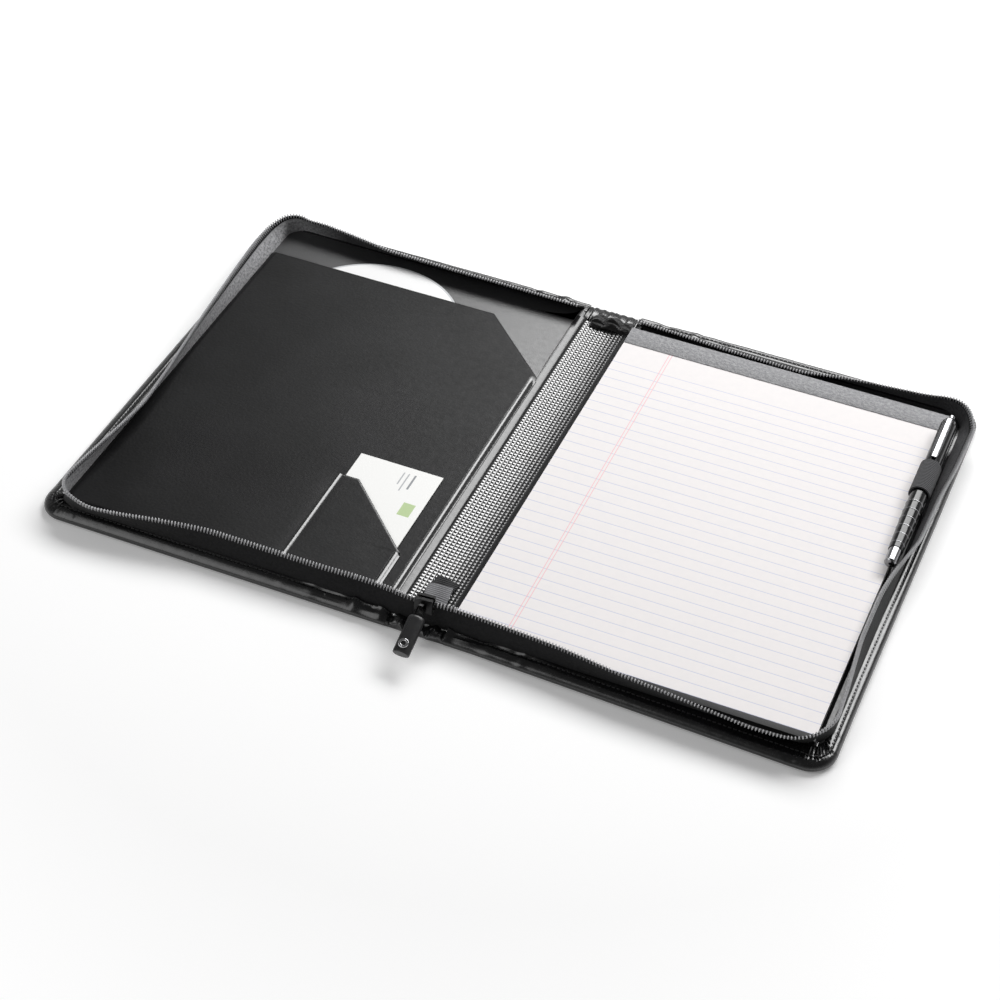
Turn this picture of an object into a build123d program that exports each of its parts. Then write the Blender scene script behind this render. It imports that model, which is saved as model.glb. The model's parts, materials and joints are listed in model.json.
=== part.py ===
"""Zippered padfolio lying open: two padded covers hinged on a spine, with a zip
wall on three edges of each cover, a writing pad and pen on the right, and a
document pocket with a disc and a business card on the left.
Millimetres. +Z up, X across the open covers, Y along the spine, Z = 0 under it."""
import math
import os
from build123d import *

os.makedirs("parts", exist_ok=True)

# Writing pad, which sets the size of the covers
pad_width = 216.0
pad_length = 300.0
backing_thickness = 1.0
sheet_stack = 4.7
binding_reach = 16.5
binding_thickness = 0.5
pad_slip = 0.15

# Pocket that the pad's backing board slips into
pad_pocket_depth = 110.0
pad_pocket_panel = 0.8
pad_pocket_seam = 1.4
pad_pocket_play = 0.3
pad_pocket_loop_gap = 1.5
pad_pocket_corner = 9.0

# Pen and its elastic loop
pen_radius = 5.2
pen_tail_radius = 4.4
pen_length = 143.5
pen_nose_length = 12.0
pen_lower_length = 68.5
pen_bore = 2.4
nose_step = 0.4
nose_end_radius = 2.8
nose_throat = 3.0
nose_bevel = 0.9
barrel_taper = 0.25
crown_length = 6.0
crown_radius = 3.4
crown_taper = 0.5
pen_wall_gap = 28.5
pen_edge_offset = 1.0
clip_width = 6.2
clip_dome = 4.5
clip_leaf = 0.6
clip_thickness = 0.9
clip_length = 40.0
clip_lift = 1.3
clip_root = 4.0
clip_nip = 4.0
button_radius = 2.0
button_length = 5.0
button_bevel = 0.6
button_travel = 4.0
refill_radius = 1.6
point_radius = 0.6
point_length = 7.0
point_bevel = 1.0
point_setback = 2.0
slide_clearance = 0.3
loop_thickness = 1.2
loop_width = 28.0
loop_setback = 48.5
loop_tail_offset = 3.2

# Covers
cover_thickness = 6.0
cover_corner = 18.0
edge_round = 2.4
skin_thickness = 1.2
foam_thickness = 1.6
liner_thickness = 1.2
fold_gap = 0.2

# Spine
spine_width = 36.0
spine_board_thickness = 1.2
strip_thickness = 0.8
strip_margin = 1.0
spine_end_setback = 17.5
end_tab_width = 15.0
end_tab_length = 17.0
end_tab_thickness = 2.0
end_tab_setback = 14.0
pleat_count = 5
pleat_base = 3.6
pleat_rise = 1.4
bunch_heights = (7.0, 10.0, 6.0)
bunch_base = 1.5
bunch_width = 8.0
bunch_slope = 1.5
bunch_crown = 2.0
bunch_depth = 12.0
bunch_left = -10.0
bunch_clearance = 0.4

# Zip walls
tape_thickness = 1.0
wall_inset = 6.0
end_inset = 8.5
wall_corner = 16.0
tooth_width = 2.6
tooth_pitch = 3.4
tooth_height = 1.2
tooth_base = 0.8
row_gap = 2.4
tail_margin = 2.5
wall_end_clearance = 1.8
front_end_gap = 3.0
far_start_gap = 2.0

# Room left round the pad inside the walls
pad_fold_gap = 1.0
pad_near_gap = 2.0
pad_far_gap = 15.0
loop_wall_gap = 0.5

# Zip slider and pull
slider_length = 11.0
slider_plate = 1.2
slider_lip = 0.8
slider_tail_half = 4.3
slider_mouth_half = 5.2
slider_web = 1.4
slider_home = 15.0
bail_width = 2.4
bail_half_span = 3.0
bail_wall = 1.3
link_wire = 0.6
link_clearance = 0.35
link_half_width = 2.4
link_length = 6.5
pull_droop = 20.0
grip_width = 10.4
grip_thickness = 7.2
grip_length = 25.0
grip_round = 1.8
eyelet_radius = 3.0
eyelet_hole = 1.4
eyelet_height = 0.8
eyelet_round = 0.45
eyelet_setback = 5.5

# Front cover pockets
disc_radius = 60.0
disc_hole = 7.5
disc_thickness = 1.2
disc_show = 21.7
disc_from_fold = 127.5
card_width = 55.0
card_length = 85.0
card_thickness = 0.5
card_show = 23.7
card_side_play = 1.9
pocket_panel = 1.0
pocket_seam = 2.5
pocket_fold_gap = 2.5
pocket_side_gap = 7.5
pocket_near_gap = 2.0
pocket_far_gap = 34.5
pocket_chamfer = 51.0
pocket_corner = 8.0
paper_slip = 0.4
card_pocket_panel = 0.8
card_pocket_height = 85.0
card_pocket_chamfer = 50.0
card_pocket_edge_gap = 10.3
card_pocket_near_gap = 4.0

# Places worked out from the sizes above
loop_radius = pen_radius + slide_clearance + loop_thickness
half_tape = tape_thickness / 2
tooth_overhang = (tooth_width - tape_thickness) / 2
pad_side_gap = pen_edge_offset + loop_radius + loop_wall_gap + tooth_overhang
cover_reach = pad_fold_gap + pad_width + pad_side_gap + half_tape + wall_inset
cover_length = pad_near_gap + pad_length + pad_far_gap + tape_thickness + 2 * end_inset
fold_x = spine_width / 2
fold_z = skin_thickness + spine_board_thickness + strip_thickness
half_length = cover_length / 2
wall_x = fold_x + cover_reach - wall_inset
wall_y = half_length - end_inset
inner_x = wall_x - half_tape
inner_y = wall_y - half_tape
mesh_z = fold_z + spine_width / 2
row_top = mesh_z - row_gap / 2
tape_top = row_top - tooth_height - tooth_base
liner_z = cover_thickness - liner_thickness
pen_far = inner_y - pen_wall_gap
loop_far = pen_far - loop_setback
loop_near = loop_far - loop_width
back_tail = slider_home + slider_length / 2 + tail_margin
front_setback = mesh_z - fold_z + slider_mouth_half + wall_end_clearance


def cover_outline(side, inset, corner, z, at_ends=None):
    """Plan of one cover, square at the fold and rounded at its two outer corners."""
    near_fold = side * (fold_x + fold_gap)
    outer = side * (fold_x + cover_reach - inset)
    y = half_length - (inset if at_ends is None else at_ends)
    with BuildSketch(Plane.XY.offset(z)) as plan:
        with BuildLine():
            FilletPolyline((near_fold, -y), (outer, -y), (outer, y), (near_fold, y), radius=corner)
            Line((near_fold, y), (near_fold, -y))
        make_face()
    return plan.sketch


def wall_plan(side, near_start, far_start, width, z):
    """Plan of a zip wall: a band along three edges with two rounded corners."""
    with BuildSketch(Plane.XY.offset(z)) as plan:
        with BuildLine():
            FilletPolyline(
                (near_start, -wall_y),
                (side * wall_x, -wall_y),
                (side * wall_x, wall_y),
                (far_start, wall_y),
                radius=wall_corner,
            )
        trace(line_width=width)
    return plan.sketch


def tooth_comb(plane, length):
    """Sketch of a straight row of teeth that stands on its base, from x = 0."""
    count = max(1, int(length / tooth_pitch))
    step = length / count
    points = [(0, 0)]
    for tooth in range(count):
        points.append(((tooth + 0.5) * step, tooth_height))
        points.append(((tooth + 1) * step, 0))
    points += [(length, -tooth_base), (0, -tooth_base)]
    with BuildSketch(plane) as comb:
        with BuildLine():
            Polyline(points, close=True)
        make_face()
    return comb.sketch


def zip_row(side, near_start, far_start):
    """Row of teeth on a zip wall: three straight combs and two rounded corners."""
    base_z = tape_top + tooth_base
    bend_x = side * (wall_x - wall_corner)
    bend_y = wall_y - wall_corner
    near_run = Plane((min(near_start, bend_x), -wall_y, base_z), x_dir=(1, 0, 0), z_dir=(0, -1, 0))
    far_run = Plane((min(far_start, bend_x), wall_y, base_z), x_dir=(1, 0, 0), z_dir=(0, -1, 0))
    side_run = Plane((side * wall_x, -bend_y, base_z), x_dir=(0, 1, 0), z_dir=(1, 0, 0))
    corner_count = max(2, round(math.pi / 2 * wall_corner / tooth_pitch))
    corner_tooth = Plane((0, 0, base_z), x_dir=(0, 1, 0), z_dir=(1, 0, 0))
    half_step = wall_corner * math.tan(math.pi / 4 / corner_count)
    with BuildPart() as row:
        extrude(tooth_comb(near_run, abs(bend_x - near_start)), amount=tooth_width / 2, both=True)
        extrude(tooth_comb(far_run, abs(bend_x - far_start)), amount=tooth_width / 2, both=True)
        extrude(tooth_comb(side_run, 2 * bend_y), amount=tooth_width / 2, both=True)
        for end in (-1, 1):
            with BuildSketch(Plane.XY.offset(tape_top)):
                with Locations((bend_x, end * bend_y)):
                    Circle(wall_corner + tooth_width / 2)
                    Circle(wall_corner - tooth_width / 2, mode=Mode.SUBTRACT)
                with Locations((bend_x + side * wall_corner, end * (bend_y + wall_corner))):
                    Rectangle(2 * wall_corner, 2 * wall_corner, mode=Mode.INTERSECT)
            extrude(amount=tooth_base)
    with BuildPart() as tooth:
        with BuildSketch(corner_tooth):
            Polygon((-half_step, -tooth_base / 2), (half_step, -tooth_base / 2), (half_step, 0),
                    (0, tooth_height), (-half_step, 0), align=None)
        extrude(amount=tooth_width / 2, both=True)
    with BuildPart() as full_row:
        add(row.part)
        for end in (-1, 1):
            if end > 0:
                quarter = 0 if side > 0 else 90
            else:
                quarter = 270 if side > 0 else 180
            with Locations((bend_x, end * bend_y, 0)):
                with PolarLocations(wall_corner, corner_count, quarter + 45 / corner_count, 90):
                    add(tooth.part)
    return full_row.part


def finish(part, name):
    """Name a finished piece and write it."""
    part.label = name
    export_step(part, f"parts/{name}.step")


# Covers: a turned-in skin round foam and board, with a liner on the inner face
for name, side in (("back", 1), ("front", -1)):
    with BuildPart() as skin:
        extrude(cover_outline(side, 0, cover_corner, 0), amount=cover_thickness)
        rims = skin.edges().group_by(Axis.Z)[0] + skin.edges().group_by(Axis.Z)[-1]
        fillet([rim for rim in rims if abs(rim.center().X) > fold_x + 1], edge_round)
        inside = cover_corner - skin_thickness
        extrude(cover_outline(side, skin_thickness, inside, skin_thickness),
                amount=liner_z - skin_thickness, mode=Mode.SUBTRACT)
        extrude(cover_outline(side, wall_inset - half_tape, wall_corner + half_tape, liner_z,
                              end_inset - half_tape), amount=liner_thickness, mode=Mode.SUBTRACT)
    finish(skin.part, f"{name}_skin")

    with BuildPart() as foam:
        extrude(cover_outline(side, skin_thickness, inside, skin_thickness), amount=foam_thickness)
    finish(foam.part, f"{name}_foam")

    board_z = skin_thickness + foam_thickness
    with BuildPart() as board:
        extrude(cover_outline(side, skin_thickness, inside, board_z), amount=liner_z - board_z)
    finish(board.part, f"{name}_board")

    with BuildPart() as liner:
        extrude(cover_outline(side, wall_inset - half_tape, wall_corner + half_tape, liner_z,
                              end_inset - half_tape), amount=liner_thickness)
    finish(liner.part, f"{name}_liner")

# Zip walls: woven tape sewn along three edges of each cover
back_near = fold_x - back_tail
back_far = fold_x + far_start_gap
front_near = -fold_x - front_setback
front_far = -fold_x - far_start_gap
with BuildPart() as back_zip_tape:
    extrude(wall_plan(1, back_near, back_far, tape_thickness, cover_thickness),
            amount=tape_top - cover_thickness)
finish(back_zip_tape.part, "back_zip_tape")

with BuildPart() as front_zip_tape:
    extrude(wall_plan(-1, front_near, front_far, tape_thickness, cover_thickness),
            amount=tape_top - cover_thickness)
finish(front_zip_tape.part, "front_zip_tape")

# Zip teeth: one row along the top of each wall
finish(zip_row(1, back_near, back_far), "back_zip_teeth")
finish(zip_row(-1, front_near, front_far), "front_zip_teeth")

# Slack end of the front tape, between its wall and the slider
end_start = front_near + fold_gap
end_length = back_near - front_end_gap - end_start
with BuildPart() as front_tape_end:
    with BuildSketch(Plane.XY.offset(cover_thickness)):
        with Locations((end_start + end_length / 2, -wall_y)):
            Rectangle(end_length, tape_thickness)
    extrude(amount=tape_top - cover_thickness)
    end_row = Plane((end_start, -wall_y, tape_top + tooth_base), x_dir=(1, 0, 0), z_dir=(0, -1, 0))
    extrude(tooth_comb(end_row, end_length), amount=tooth_width / 2, both=True)
finish(front_tape_end.part, "front_tape_end")

# Spine: skin with a turned hem at its far end, stiffener board and embossed strip
spine_half = fold_x - fold_gap
spine_near = -half_length + spine_end_setback
spine_far = half_length - spine_end_setback
with BuildPart() as spine_skin:
    with BuildSketch():
        with Locations((0, (spine_near + half_length) / 2)):
            Rectangle(2 * spine_half, half_length - spine_near)
    extrude(amount=fold_z)
    with BuildSketch(Plane.XY.offset(skin_thickness)):
        with Locations((0, (spine_near + spine_far) / 2)):
            Rectangle(2 * spine_half, spine_far - spine_near)
    extrude(amount=fold_z - skin_thickness, mode=Mode.SUBTRACT)
finish(spine_skin.part, "spine_skin")

with BuildPart() as spine_board:
    with BuildSketch(Plane.XY.offset(skin_thickness)):
        with Locations((0, (spine_near + spine_far) / 2)):
            Rectangle(2 * spine_half, spine_far - spine_near)
    extrude(amount=spine_board_thickness)
finish(spine_board.part, "spine_board")

strip_half = fold_x - strip_margin
with BuildPart() as spine_strip:
    with BuildSketch(Plane.XY.offset(fold_z - strip_thickness)):
        with Locations((0, (spine_near + spine_far) / 2)):
            Rectangle(2 * strip_half, spine_far - spine_near)
    extrude(amount=strip_thickness)
finish(spine_strip.part, "spine_strip")

# Zip end tab: a doubled loop of woven tape lying on the near end of the strip
tab_y = spine_near + end_tab_setback + end_tab_length / 2
tab_plane = Plane((0, tab_y, fold_z + end_tab_thickness / 2), x_dir=(0, 1, 0), z_dir=(1, 0, 0))
with BuildPart() as zip_end_tab:
    with BuildSketch(tab_plane):
        SlotOverall(end_tab_length, end_tab_thickness)
    extrude(amount=end_tab_width / 2, both=True)
finish(zip_end_tab.part, "zip_end_tab")

# Near gusset: slack leather of the spine's end, drawn up in pleats below the slider
pleat_width = 2 * strip_half / pleat_count
with BuildPart() as near_gusset:
    with BuildSketch(Plane.XZ.offset(half_length)):
        with BuildLine():
            Polyline((-strip_half, pleat_base), (-strip_half, 0), (strip_half, 0), (strip_half, pleat_base))
            for pleat in range(pleat_count):
                start = -strip_half + pleat * pleat_width
                ThreePointArc((start, pleat_base), (start + pleat_width / 2, pleat_base + pleat_rise),
                              (start + pleat_width, pleat_base))
        make_face()
    extrude(amount=-(spine_end_setback - fold_gap))
finish(near_gusset.part, "near_gusset")

# Far gusset: bunched fabric where both rows of teeth tuck in at the spine's far end
bunch_far = wall_y - tooth_width / 2 - bunch_clearance
with BuildPart() as far_gusset:
    with BuildSketch(Plane.XZ.offset(-bunch_far)):
        with BuildLine():
            right = bunch_left + len(bunch_heights) * bunch_width
            base = fold_z + bunch_base
            Polyline((bunch_left, base), (bunch_left, fold_z), (right, fold_z), (right, base))
            for fold, height in enumerate(bunch_heights):
                start = bunch_left + fold * bunch_width
                shoulder = base + height - bunch_crown
                Line((start, base), (start + bunch_slope, shoulder))
                ThreePointArc((start + bunch_slope, shoulder), (start + bunch_width / 2, base + height),
                              (start + bunch_width - bunch_slope, shoulder))
                Line((start + bunch_width - bunch_slope, shoulder), (start + bunch_width, base))
        make_face()
    extrude(amount=bunch_depth)
finish(far_gusset.part, "far_gusset")

# Writing pad: backing board, glued sheets and a folded head binding
pad_left = fold_x + pad_fold_gap
pad_right = pad_left + pad_width
pad_near = -inner_y + pad_near_gap
pad_far = pad_near + pad_length
pad_mid = ((pad_left + pad_right) / 2, (pad_near + pad_far) / 2)
backing_z = cover_thickness + pad_slip
pocket_gap_top = backing_z + backing_thickness + pad_slip
sheets_z = pocket_gap_top + pad_pocket_panel + pad_slip
pad_top = sheets_z + sheet_stack
with BuildPart() as pad_backing:
    with BuildSketch(Plane.XY.offset(backing_z)):
        with Locations(pad_mid):
            Rectangle(pad_width, pad_length)
    extrude(amount=backing_thickness)
finish(pad_backing.part, "pad_backing")

with BuildPart() as pad_sheets:
    with BuildSketch(Plane.XY.offset(sheets_z)):
        with Locations(pad_mid):
            Rectangle(pad_width, pad_length)
    extrude(amount=sheet_stack)
finish(pad_sheets.part, "pad_sheets")

with BuildPart() as pad_binding:
    with BuildSketch(Plane.YZ.offset(pad_left)):
        with BuildLine():
            Polyline(
                (pad_far - binding_reach, pad_top),
                (pad_far, pad_top),
                (pad_far, backing_z),
                (pad_far + binding_thickness, backing_z),
                (pad_far + binding_thickness, pad_top + binding_thickness),
                (pad_far - binding_reach, pad_top + binding_thickness),
                close=True,
            )
        make_face()
    extrude(amount=pad_width)
finish(pad_binding.part, "pad_binding")

# Pad pocket: a leather panel sewn at its near and outer edges over the backing board
pocket_right = pad_right + pad_pocket_play + pad_pocket_seam
pocket_near = pad_near - pad_pocket_play - pad_pocket_seam
pocket_left = pad_right - pad_pocket_depth
pad_pocket_length = loop_near - pad_pocket_loop_gap - pocket_near
with BuildPart() as pad_pocket:
    with BuildSketch(Plane.XY.offset(cover_thickness)) as pad_pocket_plan:
        with Locations((pocket_left, pocket_near)):
            Rectangle(pocket_right - pocket_left, pad_pocket_length, align=(Align.MIN, Align.MIN))
        chamfer(pad_pocket_plan.vertices().sort_by(Axis.X)[-2:].sort_by(Axis.Y)[0], pad_pocket_corner)
    extrude(amount=pocket_gap_top + pad_pocket_panel - cover_thickness)
    with BuildSketch(Plane.XY.offset(cover_thickness)):
        with Locations((pocket_left, pocket_near + pad_pocket_seam)):
            Rectangle(pocket_right - pad_pocket_seam - pocket_left, pad_pocket_length,
                      align=(Align.MIN, Align.MIN))
    extrude(amount=pocket_gap_top - cover_thickness, mode=Mode.SUBTRACT)
finish(pad_pocket.part, "pad_pocket")

# Pen on the pad's outer edge, clip and button towards the far end
pen_x = pad_right + pen_edge_offset
pen_z = pad_top + slide_clearance + loop_thickness + slide_clearance + pen_radius
pen_near = pen_far - pen_length
lower_near = pen_near + pen_nose_length
lower_far = lower_near + pen_lower_length
pen_plane = Plane((pen_x, 0, pen_z), x_dir=(1, 0, 0), z_dir=(0, 0, 1))
pen_axis = Axis((pen_x, 0, pen_z), (0, 1, 0))
nose_hole = point_radius + slide_clearance
nose_radius = pen_tail_radius - nose_step
with BuildPart() as pen_nose:
    with BuildSketch(pen_plane):
        with BuildLine():
            Polyline((nose_radius, lower_near), (pen_bore, lower_near),
                     (pen_bore, pen_near + 2 * nose_throat), (nose_hole, pen_near + nose_throat),
                     (nose_hole, pen_near), (nose_end_radius, pen_near),
                     (nose_end_radius + nose_bevel, pen_near + nose_bevel), close=True)
        make_face()
    revolve(axis=pen_axis)
finish(pen_nose.part, "pen_nose")

with BuildPart() as pen_lower_barrel:
    with BuildSketch(pen_plane):
        with BuildLine():
            Polyline((pen_tail_radius, lower_near), (pen_bore, lower_near), (pen_bore, lower_far),
                     (pen_radius, lower_far), (pen_radius, lower_far - pen_lower_length / 2),
                     (pen_radius - barrel_taper, lower_near + pen_lower_length / 4), close=True)
        make_face()
    revolve(axis=pen_axis)
finish(pen_lower_barrel.part, "pen_lower_barrel")

button_hole = button_radius + slide_clearance
with BuildPart() as pen_upper_barrel:
    with BuildSketch(pen_plane):
        with BuildLine():
            Polyline((pen_radius, pen_far - crown_length), (pen_radius, lower_far), (button_hole, lower_far),
                     (button_hole, pen_far), (crown_radius, pen_far),
                     (pen_radius - crown_taper, pen_far - crown_length / 2), close=True)
        make_face()
    revolve(axis=pen_axis)
finish(pen_upper_barrel.part, "pen_upper_barrel")

clip_far = pen_far - crown_length
clip_near = clip_far - clip_length
clip_foot = pen_z + pen_radius
clip_under = clip_foot + clip_lift
clip_top = clip_under + clip_thickness
with BuildPart() as pen_clip:
    with BuildSketch(Plane.YZ.offset(pen_x)):
        with BuildLine():
            Polyline(
                (clip_far, clip_foot),
                (clip_far, clip_top),
                (clip_near, clip_top),
                (clip_near, clip_under),
                (clip_near + clip_nip, clip_foot + slide_clearance),
                (clip_near + 2 * clip_nip, clip_under),
                (clip_far - clip_root, clip_under),
                (clip_far - clip_root, clip_foot),
                close=True,
            )
        make_face()
    extrude(amount=clip_width / 2, both=True)
    with BuildSketch(Plane.XZ.offset(-clip_far)):
        with Locations((pen_x, clip_top - clip_dome)):
            Circle(clip_dome)
    extrude(amount=clip_length, mode=Mode.INTERSECT)
    with BuildSketch(Plane.XY.offset(pen_z)):
        with Locations((pen_x, (clip_far + clip_near) / 2)):
            Ellipse(clip_width / 2, clip_leaf * clip_length)
    extrude(amount=2 * pen_radius, mode=Mode.INTERSECT)
    with BuildSketch(Plane.XZ.offset(-clip_far)):
        with Locations((pen_x, pen_z)):
            Circle(pen_radius)
    extrude(amount=clip_length, mode=Mode.SUBTRACT)
finish(pen_clip.part, "pen_clip")

refill_far = pen_far - crown_length
with BuildPart() as pen_button:
    with BuildSketch(pen_plane):
        with BuildLine():
            Polyline((0, refill_far), (button_radius, refill_far),
                     (button_radius, pen_far + button_length - button_bevel),
                     (button_radius - button_bevel, pen_far + button_length),
                     (0, pen_far + button_length), close=True)
        make_face()
    revolve(axis=pen_axis)
finish(pen_button.part, "pen_button")

point_near = pen_near + button_travel - point_setback
point_far = point_near + point_length
with BuildPart() as pen_refill:
    with BuildSketch(pen_plane):
        with BuildLine():
            Polyline((0, refill_far), (refill_radius, refill_far), (refill_radius, point_far),
                     (point_radius, point_far - point_bevel), (point_radius, point_near + point_bevel),
                     (0, point_near), close=True)
        make_face()
    revolve(axis=pen_axis)
finish(pen_refill.part, "pen_refill")

# Pen loop: an elastic band round the pen, its tail sewn down beside the pad
tail_x = pen_x + loop_tail_offset
with BuildPart() as pen_loop:
    with BuildSketch(Plane.XZ.offset(-loop_far)):
        with Locations((pen_x, pen_z)):
            Circle(loop_radius)
        with Locations((tail_x, (cover_thickness + pen_z) / 2)):
            Rectangle(loop_thickness, pen_z - cover_thickness)
        with Locations((pen_x, pen_z)):
            Circle(pen_radius + slide_clearance, mode=Mode.SUBTRACT)
    extrude(amount=loop_width)
finish(pen_loop.part, "pen_loop")

# Document pocket on the front cover, with its fold-side top corner cut away
pocket_depth = disc_thickness + 2 * paper_slip
front_panel_z = cover_thickness + pocket_depth
front_face_z = front_panel_z + pocket_panel
doc_left = -(inner_x - pocket_side_gap)
doc_right = -(fold_x + pocket_fold_gap)
doc_near = -inner_y + pocket_near_gap
doc_far = inner_y - pocket_far_gap
with BuildPart() as document_pocket:
    with BuildSketch(Plane.XY.offset(cover_thickness)) as pocket_plan:
        Polygon((doc_left, doc_near), (doc_right, doc_near), (doc_right, doc_far - pocket_chamfer),
                (doc_right - pocket_chamfer, doc_far), (doc_left, doc_far), align=None)
        fillet(pocket_plan.vertices().sort_by(Axis.Y)[:2].sort_by(Axis.X)[0], pocket_corner)
    extrude(amount=pocket_depth + pocket_panel)
    with BuildSketch(Plane.XY.offset(cover_thickness)) as pocket_inside:
        with Locations((doc_left + pocket_seam, doc_near + pocket_seam)):
            Rectangle(doc_right - doc_left - 2 * pocket_seam, doc_far - doc_near,
                      align=(Align.MIN, Align.MIN))
        fillet(pocket_inside.vertices().sort_by(Axis.Y)[:2].sort_by(Axis.X)[0], pocket_corner - pocket_seam)
    extrude(amount=pocket_depth, mode=Mode.SUBTRACT)
finish(document_pocket.part, "document_pocket")

# Compact disc standing out of the document pocket
with BuildPart() as compact_disc:
    with BuildSketch(Plane.XY.offset(cover_thickness + paper_slip)):
        with Locations((-(fold_x + disc_from_fold), doc_far + disc_show - disc_radius)):
            Circle(disc_radius)
            Circle(disc_hole, mode=Mode.SUBTRACT)
    extrude(amount=disc_thickness)
finish(compact_disc.part, "compact_disc")

# Card pocket on the face of the document pocket
card_pocket_width = card_width + 2 * (card_side_play + pocket_seam)
card_pocket_depth = card_thickness + 2 * paper_slip
case_right = doc_right - card_pocket_edge_gap
case_left = case_right - card_pocket_width
case_near = doc_near + card_pocket_near_gap
case_far = case_near + card_pocket_height
with BuildPart() as card_pocket:
    with BuildSketch(Plane.XY.offset(front_face_z)):
        Polygon((case_left, case_near), (case_right, case_near), (case_right, case_far - card_pocket_chamfer),
                (case_right - card_pocket_chamfer, case_far), (case_left, case_far), align=None)
    extrude(amount=card_pocket_depth + card_pocket_panel)
    with BuildSketch(Plane.XY.offset(front_face_z)):
        with Locations((case_left + pocket_seam, case_near + pocket_seam)):
            Rectangle(card_pocket_width - 2 * pocket_seam, card_pocket_height,
                      align=(Align.MIN, Align.MIN))
    extrude(amount=card_pocket_depth, mode=Mode.SUBTRACT)
finish(card_pocket.part, "card_pocket")

# Business card standing out of the card pocket
with BuildPart() as business_card:
    with BuildSketch(Plane.XY.offset(front_face_z + paper_slip)):
        with Locations(((case_left + case_right) / 2, case_far + card_show - card_length / 2)):
            Rectangle(card_width, card_length)
    extrude(amount=card_thickness)
finish(business_card.part, "business_card")

# Zip slider: two plates with turned lips, joined by a web that parts the rows
slider_x = fold_x - slider_home
channel = tooth_width / 2 + slide_clearance
lip_reach = channel - half_tape - slide_clearance
half_slider = slider_length / 2
outer_face = wall_y + channel + slider_plate
with BuildPart() as slider_body:
    for plane, outward in (
        (Plane((slider_x, -wall_y - channel, mesh_z), x_dir=(1, 0, 0), z_dir=(0, -1, 0)), 1),
        (Plane((slider_x, -wall_y + channel, mesh_z), x_dir=(1, 0, 0), z_dir=(0, -1, 0)), -1),
    ):
        with BuildSketch(plane):
            Polygon((-half_slider, -slider_tail_half), (half_slider, -slider_mouth_half),
                    (half_slider, slider_mouth_half), (-half_slider, slider_tail_half), align=None)
        extrude(amount=outward * slider_plate)
        with BuildSketch(plane):
            for edge in (-1, 1):
                Polygon((-half_slider, edge * slider_tail_half), (half_slider, edge * slider_mouth_half),
                        (half_slider, edge * (slider_mouth_half - slider_lip)),
                        (-half_slider, edge * (slider_tail_half - slider_lip)), align=None)
        extrude(amount=-outward * lip_reach)
    with BuildSketch(Plane((slider_x, -wall_y, mesh_z), x_dir=(1, 0, 0), z_dir=(0, -1, 0))):
        with Locations((half_slider / 2, 0)):
            Rectangle(half_slider, slider_web)
    extrude(amount=channel, both=True)
    with BuildSketch(Plane.YZ.offset(slider_x)):
        bail_rise = 2 * link_wire + 2 * link_clearance
        with Locations((-outer_face - (bail_rise + bail_wall) / 2, mesh_z)):
            Rectangle(bail_rise + bail_wall, 2 * bail_half_span)
        with Locations((-outer_face - bail_rise / 2, mesh_z)):
            Rectangle(bail_rise, 2 * (bail_half_span - bail_wall), mode=Mode.SUBTRACT)
    extrude(amount=bail_width / 2, both=True)
finish(slider_body.part, "slider_body")

# Zip pull: wire link through the bail, a leather grip and an eyelet near its end
droop = math.radians(pull_droop)
pivot = (slider_x, -outer_face - link_clearance - link_wire, mesh_z)
pull_up = (0, -math.sin(droop), math.cos(droop))
pull_plane = Plane(pivot, x_dir=(-1, 0, 0), z_dir=pull_up)
with BuildPart() as pull_link:
    with BuildLine(pull_plane) as link_path:
        FilletPolyline((-link_half_width, link_length), (-link_half_width, 0), (link_half_width, 0),
                       (link_half_width, link_length), radius=2 * link_wire)
    with BuildSketch(Plane(link_path.line @ 0, z_dir=link_path.line % 0)):
        RegularPolygon(link_wire, 8)
    sweep()
finish(pull_link.part, "pull_link")

grip_end = link_length + grip_length
with BuildPart() as pull_grip:
    with BuildSketch(pull_plane.offset(-grip_thickness / 2)):
        with Locations((0, (link_length + grip_end) / 2)):
            Rectangle(grip_width, grip_length)
    extrude(amount=grip_thickness)
    along_grip = pull_grip.edges().filter_by(Axis((0, 0, 0), pull_plane.y_dir))
    fillet(along_grip, grip_round)
    with BuildSketch(pull_plane.offset(-grip_thickness)):
        with Locations((0, grip_end - eyelet_setback)):
            Circle(eyelet_hole)
    extrude(amount=2 * grip_thickness, mode=Mode.SUBTRACT)
finish(pull_grip.part, "pull_grip")

with BuildPart() as pull_eyelet:
    with BuildSketch(pull_plane.offset(grip_thickness / 2)):
        with Locations((0, grip_end - eyelet_setback)):
            Circle(eyelet_radius)
            Circle(eyelet_hole, mode=Mode.SUBTRACT)
    extrude(amount=eyelet_height)
    eyelet_face = pull_eyelet.faces().sort_by(Axis((0, 0, 0), pull_plane.z_dir))[-1]
    fillet(eyelet_face.edges(), eyelet_round)
finish(pull_eyelet.part, "pull_eyelet")
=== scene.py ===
"""Open zip-round padfolio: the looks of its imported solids, in their own frame.
Shapes are worked out in millimetres and put into the meshes in metres:
X runs across the two covers, Y along the spine and Z up from the table."""
import json

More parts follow.
